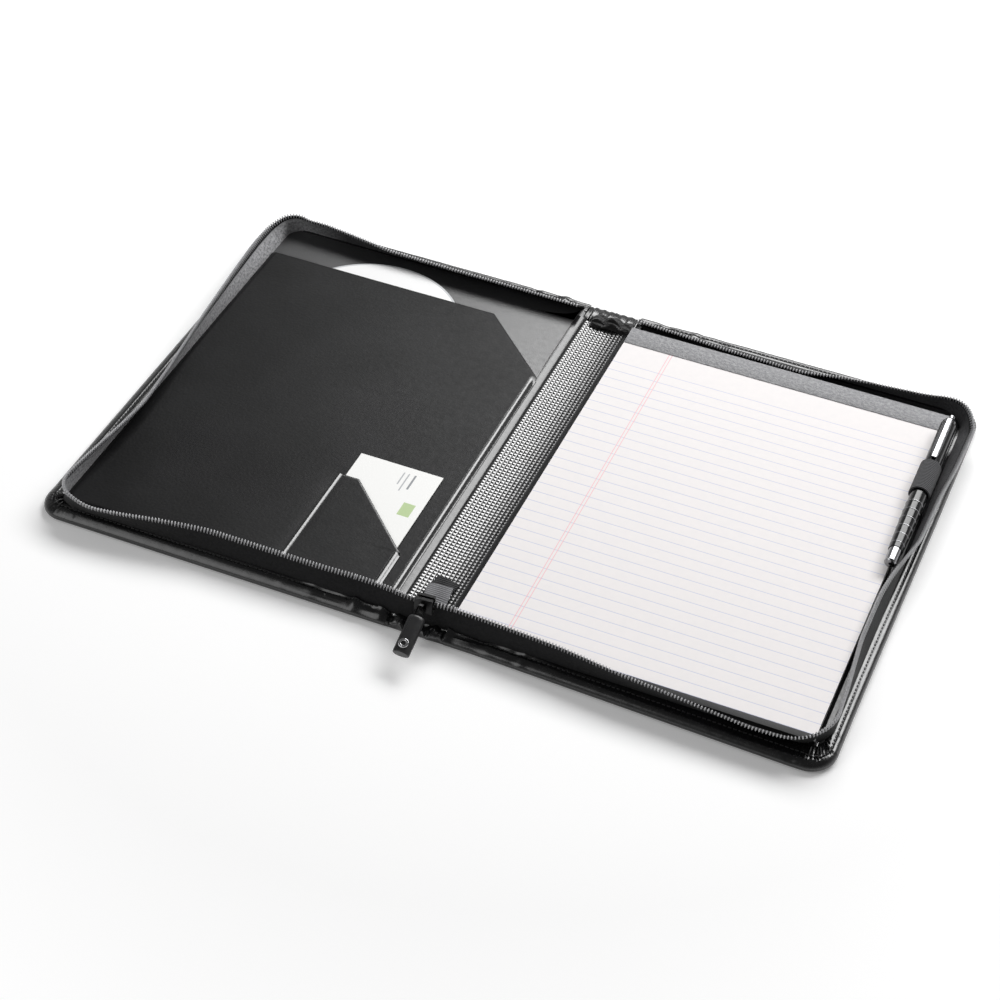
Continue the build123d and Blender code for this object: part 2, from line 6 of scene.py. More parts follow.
import bmesh
import bpy
import numpy as np
from mathutils import Matrix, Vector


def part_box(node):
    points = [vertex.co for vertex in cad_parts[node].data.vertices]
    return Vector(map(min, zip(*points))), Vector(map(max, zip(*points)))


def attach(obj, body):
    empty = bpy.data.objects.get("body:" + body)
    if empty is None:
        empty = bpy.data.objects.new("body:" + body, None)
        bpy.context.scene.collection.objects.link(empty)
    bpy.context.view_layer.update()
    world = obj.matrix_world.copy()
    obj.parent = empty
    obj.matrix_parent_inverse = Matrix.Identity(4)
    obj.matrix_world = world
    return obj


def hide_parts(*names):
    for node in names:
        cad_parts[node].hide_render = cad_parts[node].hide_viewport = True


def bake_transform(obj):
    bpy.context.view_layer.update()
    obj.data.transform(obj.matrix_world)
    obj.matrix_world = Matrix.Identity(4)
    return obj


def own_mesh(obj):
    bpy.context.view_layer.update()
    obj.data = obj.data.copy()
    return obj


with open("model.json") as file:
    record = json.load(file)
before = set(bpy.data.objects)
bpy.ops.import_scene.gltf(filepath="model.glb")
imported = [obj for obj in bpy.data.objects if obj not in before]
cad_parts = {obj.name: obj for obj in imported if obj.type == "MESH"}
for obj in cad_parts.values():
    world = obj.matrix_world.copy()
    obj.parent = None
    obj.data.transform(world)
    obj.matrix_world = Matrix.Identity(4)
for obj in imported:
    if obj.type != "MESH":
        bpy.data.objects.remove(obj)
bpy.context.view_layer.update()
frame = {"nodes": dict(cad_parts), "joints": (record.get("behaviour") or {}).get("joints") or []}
scene = bpy.context.scene
scene.view_settings.view_transform = "Standard"

# Table, lamps and camera. A white table runs out of sight in a white room with a darker ceiling; one
# long soft lamp hangs behind on the right, and a weak one stands in front on the left.
MM = 0.001


def tint(code):
    """Linear colour of an sRGB hex code, by undoing the sRGB curve on each channel."""
    channel = np.array([int(code[i:i + 2], 16) for i in (1, 3, 5)]) / 255
    linear = np.where(channel > 0.04045, ((channel + 0.055) / 1.055) ** 2.4, channel / 12.92)
    return (*linear.tolist(), 1.0)


def wire(node, sockets):
    """Each named input of a node gets a value, a hex colour or a link from another node's output."""
    for name, value in sockets.items():
        if isinstance(value, bpy.types.NodeSocket):
            node.id_data.links.new(value, node.inputs[name])
        else:
            node.inputs[name].default_value = tint(value) if isinstance(value, str) else value


def add(tree, kind, sockets, **attributes):
    """One shader node: attributes are set on it, its inputs are wired, and its outputs are given back."""
    node = tree.nodes.new("ShaderNode" + kind)
    for name, value in attributes.items():
        setattr(node, name, value)
    wire(node, sockets)
    return node.outputs


def seen_white(tree):
    """1 for rays that come from the camera, a mirror or glass, and 0 for light that falls on things."""
    ray = add(tree, "LightPath", {})
    mirror = add(tree, "Math", {0: ray["Is Glossy Ray"], 1: ray["Is Transmission Ray"]}, operation="MAXIMUM")
    return add(tree, "Math", {0: ray["Is Camera Ray"], 1: mirror[0]}, operation="MAXIMUM")[0]


def finish(name, sockets):
    """A material whose Principled shader starts from these inputs. Gives the material, its tree, the
    shader and the object coordinates."""
    material = bpy.data.materials.new(name)
    material.use_nodes = True
    tree = material.node_tree
    shader = tree.nodes["Principled BSDF"]
    wire(shader, sockets)
    return material, tree, shader, add(tree, "TexCoord", {})["Object"]


room = bpy.data.worlds.new("white_room")
scene.world = room
room.use_nodes = True
room_light, wall_light, ceiling_light, wall_top, ceiling_edge = 0.18, 0.5, 0.10, 0.22, 0.62
tree = room.node_tree
up = add(tree, "SeparateXYZ", {0: add(tree, "TexCoord", {})["Generated"]})["Z"]
shown = add(tree, "MapRange", {0: up, 1: wall_top, 2: ceiling_edge, 3: wall_light, 4: ceiling_light})[0]
strength = add(tree, "MapRange", {0: seen_white(tree), 3: room_light, 4: shown})[0]
looked_at = add(tree, "LightPath", {})["Is Camera Ray"]
strength = add(tree, "Math", {0: strength, 1: looked_at}, operation="MAXIMUM")[0]
wire(tree.nodes["Background"], {"Color": (1, 1, 1, 1), "Strength": strength})

# Matt white card: it keeps the shadow, and its own white fills in the rest for the eye
card_white, tree, shader, spot = finish("matt_white_table", {
    "Base Color": "#fbfbfb", "Roughness": 0.9, "Specular IOR Level": 0.0,
    "Emission Color": (1, 1, 1, 1)})
away = add(tree, "VectorMath", {0: spot}, operation="LENGTH")["Value"]
own_white = add(tree, "MapRange", {0: away, 1: 0.35, 2: 1.5, 3: 0.12, 4: 1.0})[0]
glow = add(tree, "MapRange", {0: seen_white(tree), 3: 0.0, 4: own_white})[0]
wire(shader, {"Emission Strength": glow})
table_half, table_drop = 6.0, 0.0004
table_corners = np.array(((-1, -1, 0), (1, -1, 0), (1, 1, 0), (-1, 1, 0))) * table_half - (0, 0, table_drop)
table_mesh = bpy.data.meshes.new("table")
table_mesh.from_pydata(table_corners.tolist(), [], [(0, 1, 2, 3)])
table_mesh.materials.append(card_white)
table = bpy.data.objects.new("table", table_mesh)
scene.collection.objects.link(table)


def facing(place):
    """Turn that looks from place to the middle of the part with its top upwards."""
    back = np.array(place) / np.linalg.norm(place)
    right = np.cross((0, 0, 1), back)
    right /= np.linalg.norm(right)
    turn = np.eye(4)
    turn[:3, :4] = np.stack((right, np.cross(back, right), back, place), 1)
    return Matrix(turn.tolist())


for name, place, width, height, power in (
        ("back_lamp", (0.30, 1.24, 1.27), 1.95, 0.75, 41.0),
        ("front_lamp", (-0.78, -1.00, 1.10), 0.8, 1.15, 5.0)):
    lamp = bpy.data.lights.new(name, "AREA")
    lamp.shape, lamp.size, lamp.size_y, lamp.energy = "RECTANGLE", width, height, power
    stand = bpy.data.objects.new(name, lamp)
    stand.matrix_world = facing(place)
    stand.visible_camera = False
    scene.collection.objects.link(stand)

camera_turn, camera_tilt, camera_roll = 0.3558, 0.7258, 0.0543
camera_place = (0.3717, -1.0382, 0.9475)
back = np.array((np.sin(camera_turn) * np.cos(camera_tilt), -np.cos(camera_turn) * np.cos(camera_tilt),
                 np.sin(camera_tilt)))
right = np.array((np.cos(camera_turn), np.sin(camera_turn), 0.0))
top = np.cross(back, right)
level = np.eye(4)
level[:3, 0] = np.cos(camera_roll) * right + np.sin(camera_roll) * top
level[:3, 1] = np.cos(camera_roll) * top - np.sin(camera_roll) * right
level[:3, 2] = back
level[:3, 3] = camera_place
lens = bpy.data.cameras.new("camera")
lens.lens, lens.sensor_width, lens.clip_end = 84.26, 36.0, 50.0
camera = bpy.data.objects.new("camera", lens)
camera.matrix_world = Matrix(level.tolist())
scene.collection.objects.link(camera)
scene.camera = camera


# Cover skins. Black glazed leather is turned over the edge of each padded board and sewn down
# again as a flange round the lining; at the corners the turned edge is gathered in pleats.
def box_mm(node):
    """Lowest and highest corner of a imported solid, in millimetres."""
    return np.array(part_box(node)) / MM


back_lo, back_hi = box_mm("back_skin")
cover_reach, cover_half, cover_top = back_hi
fold_line = back_lo[0]
cover_corner, spine_inset = 18.0, 16.0
rim_steps, rim_belly, rim_round, rim_slope = 15, 2.6, 3.0, 3.6
under_inset = np.array((18.0, 9.0, 4.8))
flange_share = np.array((0.1, 0.2, 0.3, 0.42, 0.56, 0.7, 0.85, 1.0))
tuck_inset, tuck_fall = np.array((1.4, 2.6, 5.0)), np.array((0.2, 1.0, 1.05))
flange_narrow, flange_wide = 9.6, 12.4
pleat_pitch, pleat_rise = 3.0, 1.05
wrinkle_reach, wrinkle_rise = 95.0, 0.9
seam_places, seam_width, seam_groove = (6.0, 8.8), 0.8, 0.35
near_slope, far_slope, corner_ease, crown_spread = 0.9, 0.3, 6.0, 0.42
side_pull, back_side_pull, back_corner_pull = 2.3, 1.8, 6.2
stitch_column = len(under_inset) + rim_steps + 1
stitch_pitch, stitch_margin, stitch_groove, stitch_sink = 3.0, 9.0, 0.9, 0.45
stitch_long, stitch_wide, stitch_high, stitch_proud = 2.2, 0.85, 0.6, 0.22


def rise(value, low, high):
    """0 below low, 1 above high, and a smooth climb with level ends between them."""
    share = np.clip((value - low) / (high - low), 0, 1)
    return share * share * (3 - 2 * share)


def walk_round(side, reach, half, corner, near, far, step):
    """Path along the near edge, round two quarter circles and back along the far edge of a cover: the
    centre of the corner circle goes straight while the angle round it stays, and the other way about.
    Gives its points, the directions inwards, the distance walked and where each of the five runs ends."""
    bend, wide, deep = corner * np.pi / 2, reach - corner, half - corner
    ends = np.concatenate(([0], np.cumsum((wide - near, bend, 2 * deep, bend, wide - far))))
    walked = np.linspace(0, ends[-1], int(round(ends[-1] / step)) + 1)
    angle = np.interp(walked, ends, np.radians((-90, -90, 0, 0, 90, 90)))
    centre_x = np.interp(walked, ends, (near, wide, wide, wide, wide, far))
    centre_y = np.interp(walked, ends, (-deep, -deep, -deep, deep, deep, deep))
    points = np.stack((side * (centre_x + corner * np.cos(angle)), centre_y + corner * np.sin(angle)), 1)
    inwards = np.stack((-side * np.cos(angle), -np.sin(angle)), 1)
    return points, inwards, walked, ends


def spine_edge(side, walked):
    """Points spread along a cover's edge by the spine, one for each place on the walk round the cover."""
    share = walked / walked[-1] * 2 - 1
    return np.stack((np.full_like(share, side * fold_line), share * (cover_half - spine_inset)), 1)


def surface(x, y, z):
    """Points of a surface: three arrays that stretch over one grid become its X, Y and Z."""
    return np.stack(np.broadcast_arrays(x, y, z), -1)


def set_in(points, inwards, inset, height):
    """Rings of a profile carried along a path: each of its points lies inset from the path, at its height."""
    flat = points[:, None] + inwards[:, None] * inset[..., None]
    return np.concatenate((flat, np.broadcast_to(height, flat.shape[:2])[..., None]), 2)


def solid(name, points, faces, material, uv=None, sharp=38.0):
    """Closed mesh from points in millimetres: faces turned outwards, and edges sharp above an angle."""
    mesh = bpy.data.meshes.new(name)
    mesh.from_pydata((np.asarray(points, float).reshape(-1, 3) * MM).tolist(), [], faces)
    if uv is not None:
        corner_point = np.empty(len(mesh.loops), np.int32)
        mesh.loops.foreach_get("vertex_index", corner_point)
        mesh.uv_layers.new(name="UVMap").data.foreach_set(
            "uv", (np.asarray(uv, float).reshape(-1, 2) * MM)[corner_point].ravel())
    work = bmesh.new()
    work.from_mesh(mesh)
    bmesh.ops.recalc_face_normals(work, faces=work.faces)
    work.to_mesh(mesh)
    work.free()
    mesh.shade_smooth()
    mesh.set_sharp_from_angle(angle=np.radians(sharp))
    mesh.materials.append(material)
    piece = bpy.data.objects.new(name, mesh)
    scene.collection.objects.link(piece)
    return piece


def quads_between(count, size, closed=False):
    """Point numbers of the quads from ring to ring; a closed path joins its last ring to its first."""
    ring, spot = np.arange(count if closed else count - 1)[:, None], np.arange(size)
    ahead, over = (ring + 1) % count, (spot + 1) % size
    corners = (ring * size + spot, ring * size + over, ahead * size + over, ahead * size + spot)
    return np.stack(corners, -1).reshape(-1, 4)


def carried(name, rings, material, uv=None, closed=False):
    """Skin through closed rings of points; the end rings are filled, or joined if the path is closed."""
    count, size = rings.shape[:2]
    faces = quads_between(count, size, closed).tolist()
    if not closed:
        faces += [list(range(size)), list(range((count - 1) * size, count * size))]
    return solid(name, rings, faces, material, uv)


def bead(length, width, height):
    """Small rounded bar: rings along x whose size follows a blunt ellipse. Gives points, quads and ends."""
    along = np.array((-1.0, -0.82, -0.4, 0.4, 0.82, 1.0))[:, None]
    girth = np.array((0.3, 0.76, 1.0, 1.0, 0.76, 0.3))[:, None]
    around = 6
    angle = (np.arange(around) + 0.5) * 2 * np.pi / around
    points = surface(along * length / 2, girth * np.cos(angle) * width / 2,
                     girth * np.sin(angle) * height / 2)
    ends = np.stack((np.arange(around), np.arange(around) + (len(along) - 1) * around))
    return points.reshape(-1, 3), quads_between(len(along), around), ends


def row_of(name, shape, centre, long_way, wide_way, material):
    """One bead set down at every centre, its length along long_way, its width along wide_way."""
    points, quads, ends = shape
    ways = np.stack((long_way, wide_way, np.cross(long_way, wide_way)), 1)
    spread = centre[:, None] + points @ ways
    shift = (np.arange(len(centre)) * len(points))[:, None, None]
    faces = (quads + shift).reshape(-1, 4).tolist() + (ends + shift).reshape(-1, ends.shape[1]).tolist()
    return solid(name, spread, faces, material, sharp=60.0)


def along_line(line, other, pitch, start, stop):
    """Even steps along a line of 3-D points, from start to its length less stop. Gives the places, the unit
    direction ahead, and the part square to it of the other direction, which is known at the line's points."""
    legs = np.linalg.norm(np.diff(line, axis=0), axis=1)
    length = np.concatenate(([0], np.cumsum(legs)))
    steps = np.arange(start, length[-1] - stop, pitch)
    known = np.concatenate((line, np.gradient(line, length, axis=0), other), 1)
    found = np.stack([np.interp(steps, length, column) for column in known.T], 1)
    centre, ahead, square = np.split(found, 3, 1)
    ahead = ahead / np.linalg.norm(ahead, axis=1)[:, None]
    square = square - ahead * np.sum(square * ahead, 1)[:, None]
    return centre, ahead, square / np.linalg.norm(square, axis=1)[:, None]


def fit(piece, body, slot, *nodes):
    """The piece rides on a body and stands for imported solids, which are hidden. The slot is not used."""
    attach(piece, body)
    if nodes:
        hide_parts(*nodes)
    return piece


def leather(name, colour, wear_and_painted_light, rough, shine, grain, depth):
    """Leather with a pressed pebble grain: cells of grain mm stand depth mm high. The colour drifts from
    fresh to worn over patches of some 45 mm, and the roughness over flecks of 2.6 grains."""
    material, tree, shader, spot = finish(name, {"Specular IOR Level": shine, "IOR": 1.5})
    patch = add(tree, "TexNoise", {"Vector": spot, "Scale": 22.0, "Detail": 3.0})[0]
    pebble = add(tree, "TexVoronoi", {"Vector": spot, "Scale": 1000 / grain}, feature="SMOOTH_F1")
    fleck = add(tree, "TexNoise", {"Vector": spot, "Scale": 1000 / (2.6 * grain), "Detail": 2.0})[0]
    blend = add(tree, "MapRange", {0: patch, 1: 0.35, 2: 0.68})[0]
    shade = add(tree, "Mix", {0: blend, 6: colour, 7: wear_and_painted_light}, data_type="RGBA")[2]
    matt = add(tree, "MapRange", {0: fleck, 1: 0.3, 2: 0.7, 3: rough - 0.03, 4: rough + 0.04})[0]
    dent = add(tree, "Bump", {"Height": pebble["Distance"], "Distance": depth * MM, "Strength": 0.9},
               invert=True)[0]
    wire(shader, {"Base Color": shade, "Roughness": matt, "Normal": dent})
    return material


def rubbed(name, colour, flecks, bright, dull, sockets):
    """Material of one colour whose roughness drifts from bright to dull over flecks, so many to a metre."""
    material, tree, shader, spot = finish(name, {"Base Color": colour, **sockets})
    fleck = add(tree, "TexNoise", {"Vector": spot, "Scale": flecks})[0]
    wire(shader, {"Roughness": add(tree, "MapRange", {0: fleck, 3: bright, 4: dull})[0]})
    return material


# Glazed cover leather: near black with a hard shine; its 0.7 mm grain is drawn 1.5 mm wide to show
cover_leather = leather("glazed_cover_leather", "#0d0d0e", "#131314", 0.24, 0.8, 1.5, 0.018)
# Polyester sewing thread: black, its twisted plies dull and bright by turns, 0.5 mm apart
thread = rubbed("polyester_thread", "#2c2c2d", 2000.0, 0.35, 0.65, {"Specular IOR Level": 0.5})

turn = np.radians(np.linspace(-90, 90, rim_steps))
# For each cover: how far its side slopes outwards, its side flange's width and its near edge's padding
for side, cover, side_slope, side_width, near_puff in (
        (-1, "front", 0.9, flange_wide, 1.3), (1, "back", 0.1, flange_narrow, 0.5)):
    points, inwards, walked, ends = walk_round(
        side, cover_reach, cover_half, cover_corner, fold_line, fold_line, 1.3)
    near_part = 1 - rise(walked, ends[1] - corner_ease, ends[2] + corner_ease)
    far_part = rise(walked, ends[3] - corner_ease, ends[4] + corner_ease)
    side_part = 1 - near_part - far_part
    slopes = near_slope * near_part + side_slope * side_part + far_slope * far_part
    slope = (rim_round + rim_slope * slopes)[:, None]
    width = (flange_narrow + (side_width - flange_narrow) * side_part)[:, None]
    under = np.broadcast_to(under_inset, (len(walked), len(under_inset)))
    curl = np.where(turn < 0, rim_round, slope) * (1 - np.cos(turn))
    inset = np.concatenate((under, curl, slope + (width - slope) * flange_share, width + tuck_inset), 1)
    belly = np.where(turn < 0, rim_belly, cover_top - rim_belly) * np.sin(turn) + rim_belly
    flat = np.concatenate((under_inset * 0, belly, flange_share * 0 + cover_top, cover_top - tuck_fall))
    upper = flat > cover_top / 2
    crown = np.exp(-((inset - (slope + width) / 2) / (crown_spread * width)) ** 2) * upper
    gather = sum(rise(walked, start - 9, start + 4) * (1 - rise(walked, stop - 4, stop + 9))
                 for start, stop in (ends[1:3], ends[3:5]))
    drift = np.sin(walked / 9.1 + side) + 0.6 * np.sin(walked / 3.7)
    pleats = gather * pleat_rise * (np.abs(np.sin(np.pi * walked / pleat_pitch + 0.5 * drift)) - 0.6)
    spine_side = 1 - rise(np.minimum(walked, ends[-1] - walked), 0, wrinkle_reach)
    ripples = np.sin(walked / 3.3 + 1.7 * drift) + 0.8 * np.sin(walked / 7.9 + side)
    wrinkles = (0.05 + spine_side ** 1.5) * wrinkle_rise * ripples * (1 - gather)
    ridge = 0.9 * spine_side * near_part * np.sin(walked / 11.0 + 0.8)
    across_fold = (wrinkles + pleats)[:, None] + ridge[:, None] * np.sin((inset - slope) * 1.7)
    # Two seams cross the flange on either side of each corner
    seams = sum(np.exp(-((walked - ends[k] - (-1) ** k * place) / seam_width) ** 2)
                for k in (1, 2, 3, 4) for place in seam_places)[:, None]
    puff = (0.35 + near_puff * near_part + 0.3 * side_part)[:, None]
    stitch_inset = inset[:, stitch_column:stitch_column + 1]
    sewn = stitch_sink * np.exp(-((inset - stitch_inset) / stitch_groove) ** 2) * upper
    height = flat + crown * (puff + across_fold) - sewn
    height = height - upper * seam_groove * seams * (inset < stitch_inset + 2)
    swell = rise(flat, 0.8, cover_top - 0.5) * (inset < slope)
    depth = inset - swell * (0.35 * pleats + 0.6 * wrinkles)[:, None]
    rim = set_in(points, inwards, depth, height)
    # The edge was pulled sideways, and on the back cover also out at its near corner
    pulled = np.stack((-side * side_pull * side_part, walked * 0), 1)
    if cover == "back":
        outwards = np.clip((points[:, 0] - 35) / 190, 0, 1)
        pulled[:, 1] = -back_corner_pull * outwards * rise(-points[:, 1], 60, 160)
        pulled[:, 0] = -back_side_pull * side_part * rise(-points[:, 1], -120, 140)
    hold = 1 - rise(inset, 4.0, 13.0)
    rim[:, :, :2] += pulled[:, None] * hold[:, :, None]
    low, over = (np.pad(spine_edge(side, walked), ((0, 0), (0, 1)), constant_values=edge)[:, None]
                 for edge in (0.5, cover_top - tuck_fall[-1]))
    skin = carried(cover + "_cover_leather", np.concatenate((low, rim, over), 1), cover_leather)
    fit(skin, cover + "_cover", "black_leather", cover + "_skin")
    seam_line = rim[:, stitch_column] + (0, 0, stitch_proud)
    centre, ahead, inward = along_line(
        seam_line, np.pad(inwards, ((0, 0), (0, 1))), stitch_pitch, stitch_margin, stitch_margin)
    stitch = bead(stitch_long, stitch_wide, stitch_high)
    stitches = row_of(cover + "_flange_stitches", stitch, centre, ahead, inward, thread)
    fit(stitches, cover + "_cover", "black_leather")

# Padding and boards. A sheet of foam and a grey stiffener board lie inside each skin, out of sight and
# clear of the pulled rim, and the spine has a board of its own.
# Polyurethane foam: pale, with open cells drawn 1 mm wide
foam, tree, shader, spot = finish("polyurethane_foam", {"Roughness": 0.9})
cells = add(tree, "TexVoronoi", {"Vector": spot, "Scale": 1000.0})["Distance"]
pale = add(tree, "Mix", {0: cells, 6: "#b9b6ad", 7: "#e0ded6"}, data_type="RGBA")[2]
wire(shader, {"Base Color": pale})
# Grey chipboard: matt, with pulp flecks some 2 mm long
chipboard, tree, shader, spot = finish("grey_chipboard", {"Roughness": 0.85})
pulp = add(tree, "TexNoise", {"Vector": spot, "Scale": 500.0, "Detail": 4.0})[0]
grey = add(tree, "Mix", {0: pulp, 6: "#6d6a64", 7: "#8f8b83"}, data_type="RGBA")[2]
wire(shader, {"Base Color": grey})


def dress(material, *nodes):
    """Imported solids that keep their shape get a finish."""
    for node in nodes:
        mesh = frame["nodes"][node].data
        mesh.materials.clear()
        mesh.materials.append(material)


dress(chipboard, "spine_board")
board_tuck = 5.5
for side, cover in ((-1, "front"), (1, "back")):
    points, inwards, walked, ends = walk_round(
        side, cover_reach - board_tuck, cover_half - board_tuck, cover_corner - board_tuck,
        fold_line, fold_line, 4.0)
    inner = spine_edge(side, walked)
    outline = np.stack((points, points, inner, inner), 1)
    for sheet, material, slot in (("foam", foam, "padding"), ("board", chipboard, "stiffener")):
        low, high = box_mm(cover + "_" + sheet)[:, 2]
        rings = surface(outline[:, :, 0], outline[:, :, 1], (low, high, high, low))
        piece = carried(cover + "_" + sheet + "_sheet", rings, material)
        fit(piece, cover + "_cover", slot, cover + "_" + sheet)

# Linings. Each cover is faced inside with thin grey-black leather, tucked under the flange and
# rolled over at the fold.
liner_lo, liner_hi = box_mm("back_liner")
liner_corner, liner_fold = 16.5, fold_line + 4
liner_inset = np.array((0.0, 0.0, 0.3, 0.9, 16.0))
liner_top = liner_hi[2]
liner_level = np.array((liner_lo[2] + 0.05, liner_top - 0.4, liner_top - 0.1, liner_top, liner_top))
roll_reach = np.array((3.6, 3.0, 2.1, 1.2, 0.6, 0.1, 0.1))
roll_fall = np.array((0.0, 0.02, 0.2, 0.5, 0.75, 0.95, 1.1))
# Smooth lining leather: dark grey with a soft shine and a faint 1.2 mm grain
lining = leather("smooth_lining_leather", "#2c2c2d", "#363637", 0.36, 0.75, 1.2, 0.02)
for side, cover in ((-1, "front"), (1, "back")):
    points, inwards, walked, ends = walk_round(
        side, liner_hi[0], liner_hi[1], liner_corner, liner_fold, liner_fold, 2.0)
    share = walked / walked[-1] * 2 - 1
    outer = set_in(points, inwards, liner_inset, liner_level)
    roll = surface(side * (fold_line + roll_reach), share[:, None] * (liner_hi[1] - 0.6),
                   liner_top - roll_fall)
    facing_leather = carried(cover + "_lining", np.concatenate((outer, roll), 1), lining)
    fit(facing_leather, cover + "_cover", "liner_leather", cover + "_liner")

# Spine skin. The same leather crosses the folds in one length; it is cut at the spine's middle line here
# into two halves. At the far end it is turned in as a thick hem.
spine_lo, spine_hi = box_mm("spine_skin")
strip_lo, strip_hi = box_mm("spine_strip")
near_end, far_end, hem_start = spine_lo[1], spine_hi[1], strip_hi[1]
skin_thick, skin_thin, overlap = 1.15, 0.75, 9.0
far_top = spine_hi[2] + 0.9
ring_y = np.array((near_end, near_end + 0.4, hem_start - 1.0, hem_start + 0.5, hem_start + 2.5,
                   (hem_start + far_end) / 2, far_end - 2.6, far_end - 0.9, far_end - 0.1,
                   far_end, far_end - 0.8, far_end - 2.0, 0.0, near_end + 0.4))
ring_z = np.array((0.7, skin_thick, skin_thick, 2.0, far_top - 0.3, far_top, far_top - 0.2,
                   far_top - 1.0, 2.2, 1.2, 0.3, 0.0, 0.0, 0.0))
across = np.concatenate((np.linspace(0, 13, 9), np.linspace(14, fold_line + overlap, 26)))[:, None]
thinned = np.where((across > fold_line - 0.6) & (ring_z > 0.4), skin_thin, 1.0)
for side, cover in ((-1, "front"), (1, "back")):
    hump = 0.5 * np.sin(across * 1.15 + side) + 0.25 * np.sin(across * 2.7)
    rings = surface(side * across, ring_y, ring_z * thinned + np.where(ring_z > 1.5, hump, 0))
    half_skin = carried("spine_leather_" + cover, rings, cover_leather)
    if side < 0:
        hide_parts("spine_skin")
    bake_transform(half_skin)

# Fold linings. A turned edge of the lining leather bridges each fold, from the embossed strip up onto
# the lining, and is glued down on both sides.
front_hem = np.array(((15.2, 2.7), (15.5, 3.9), (16.0, 4.75), (16.8, 5.4), (17.8, 5.8), (19.0, 6.03),
                      (20.1, 6.12), (21.2, 6.1), (22.3, 6.02)))
back_hem = np.array(((12.1, 2.6), (12.3, 3.3), (12.8, 3.65), (14.0, 3.8), (15.5, 4.1), (17.0, 4.7),
                     (18.3, 5.4), (19.8, 5.9), (21.0, 5.95)))
hem_thick, hem_wave = 0.8, 0.07
# Glazed hem leather: black and polished by the fold, so it shows one thin bright line
hem_leather = leather("glazed_hem_leather", "#19191a", "#222223", 0.2, 0.55, 1.2, 0.001)
hem_y = np.linspace(strip_lo[1] + 0.3, strip_hi[1] - 0.3, 81)[:, None]
for side, cover, (hem_x, hem_z) in ((-1, "front", front_hem.T), (1, "back", back_hem.T)):
    hem_ring_x = np.concatenate((hem_x, hem_x[::-1]))
    hem_ring_z = np.concatenate((hem_z, hem_z[::-1] - hem_thick))
    rings = surface(side * hem_ring_x, hem_y, hem_ring_z + hem_wave * np.sin(hem_y / 13.0 + side))
    hem = carried(cover + "_fold_lining", rings, hem_leather)
    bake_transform(hem)

# Spine strip. A band pressed with a basket weave faces the spine between the two linings: small
# pillows stand in rows, eleven to the width, and the band dips between the two folds.
weave_columns, weave_cell, weave_steps, weave_blunt = 11, 2.7, 6, 3.5
weave_rise, strip_dip, strip_left, strip_right = 0.4, 1.2, -15.7, 12.5


def slab(name, x, y, over, under, material, sharp=38.0):
    """Closed plate between two height fields on one grid: top, under face and a wall round the border."""
    rows, cols = x.shape
    below = rows * cols
    points = np.concatenate([surface(x, y, level).reshape(-1, 3) for level in (over, under)])
    index = np.arange(below).reshape(rows, cols)
    face = np.stack((index[:-1, :-1], index[:-1, 1:], index[1:, 1:], index[1:, :-1]), -1).reshape(-1, 4)
    border = np.concatenate((index[0, :-1], index[:-1, -1], index[-1, :0:-1], index[:0:-1, 0]))
    ahead = np.roll(border, -1)
    wall = np.stack((border, border + below, ahead + below, ahead), 1)
    faces = np.concatenate((face, face[:, ::-1] + below, wall)).tolist()
    return solid(name, points, faces, material, sharp=sharp)


# Embossed strip leather: black with a wet shine, so every pillow carries its own spark of light; the shine is
# worn off towards the pad
strip_leather = leather("embossed_strip_leather", "#161617", "#1f1f20", 0.2, 1.0, 0.9, 0.004)
tree = strip_leather.node_tree
place = add(tree, "SeparateXYZ", {0: add(tree, "TexCoord", {})["Object"]})["X"]
wet = add(tree, "MapRange", {0: place, 1: -0.002, 2: 0.012, 3: 1.0, 4: 0.35})[0]
wire(tree.nodes["Principled BSDF"], {"IOR": 1.74, "Specular IOR Level": wet})
strip_x = np.linspace(strip_left, strip_right, weave_columns * weave_steps + 1)
strip_y = np.arange(strip_lo[1] + 0.1, strip_hi[1] - 0.05, weave_cell / weave_steps)
grid_x, grid_y = np.meshgrid(strip_x, strip_y)
column = (grid_x - strip_left) / (strip_right - strip_left) * weave_columns
cell = (grid_y - strip_y[0]) / weave_cell
pillow_x, pillow_y = (1 - (1 - np.abs(np.sin(np.pi * count))) ** weave_blunt for count in (column, cell))
dip = strip_dip * (grid_x / strip_left) ** 2
over = strip_hi[2] - 0.55 + dip + weave_rise * pillow_x * pillow_y
strip = slab("spine_basket_strip", grid_x, grid_y, over, strip_lo[2] + 0.02, strip_leather, 75.0)
fit(strip, "spine", "embossed_leather", "spine_strip")

# Gussets. Slack leather closes the spine's near end under the slider and falls in large folds; the
# far one is a bunch of black cloth into which both rows of teeth are tucked.
gusset_lo, gusset_hi = box_mm("near_gusset")
near_end, far_end = gusset_lo[1], gusset_hi[1]
gusset_x = np.linspace(gusset_lo[0] - 0.7, gusset_hi[0] + 0.7, 91)[:, None]
turn = np.radians(np.linspace(-90, 90, 13))
gusset_y = np.concatenate(((far_end, far_end - 6), near_end + 2.6 - 2.4 * np.cos(turn),
                           near_end + np.array((3.6, 5.0, 6.5, 8.0, 10.0, 12.0)), (far_end - 2, far_end)))
gusset_z = np.concatenate(((0.3, 0.1), 2.8 * (1 + np.sin(turn)) + 0.05,
                           (6.0, 6.2, 6.1, 5.7, 5.0, 4.2, 3.6, 3.4)))
reach_in = gusset_y - near_end
fold = np.sin(gusset_x * 0.58 + 0.9 + 0.10 * reach_in) + 0.4 * np.sin(gusset_x * 1.31 - 0.16 * reach_in + 1.0)
lift = 1.15 * fold * rise(gusset_z, 1.2, 5.0) * (1 - rise(reach_in, 9.0, 15.0))
push = 1.1 * np.sin(gusset_x * 0.42 + 0.8) * rise(gusset_z, 0.3, 3.0) * (1 - rise(reach_in, 3.0, 7.0))
rings = surface(gusset_x, gusset_y + push, gusset_z + lift)
near_gusset = carried("near_gusset_leather", rings, cover_leather)
fit(near_gusset, "spine", "black_leather", "near_gusset")
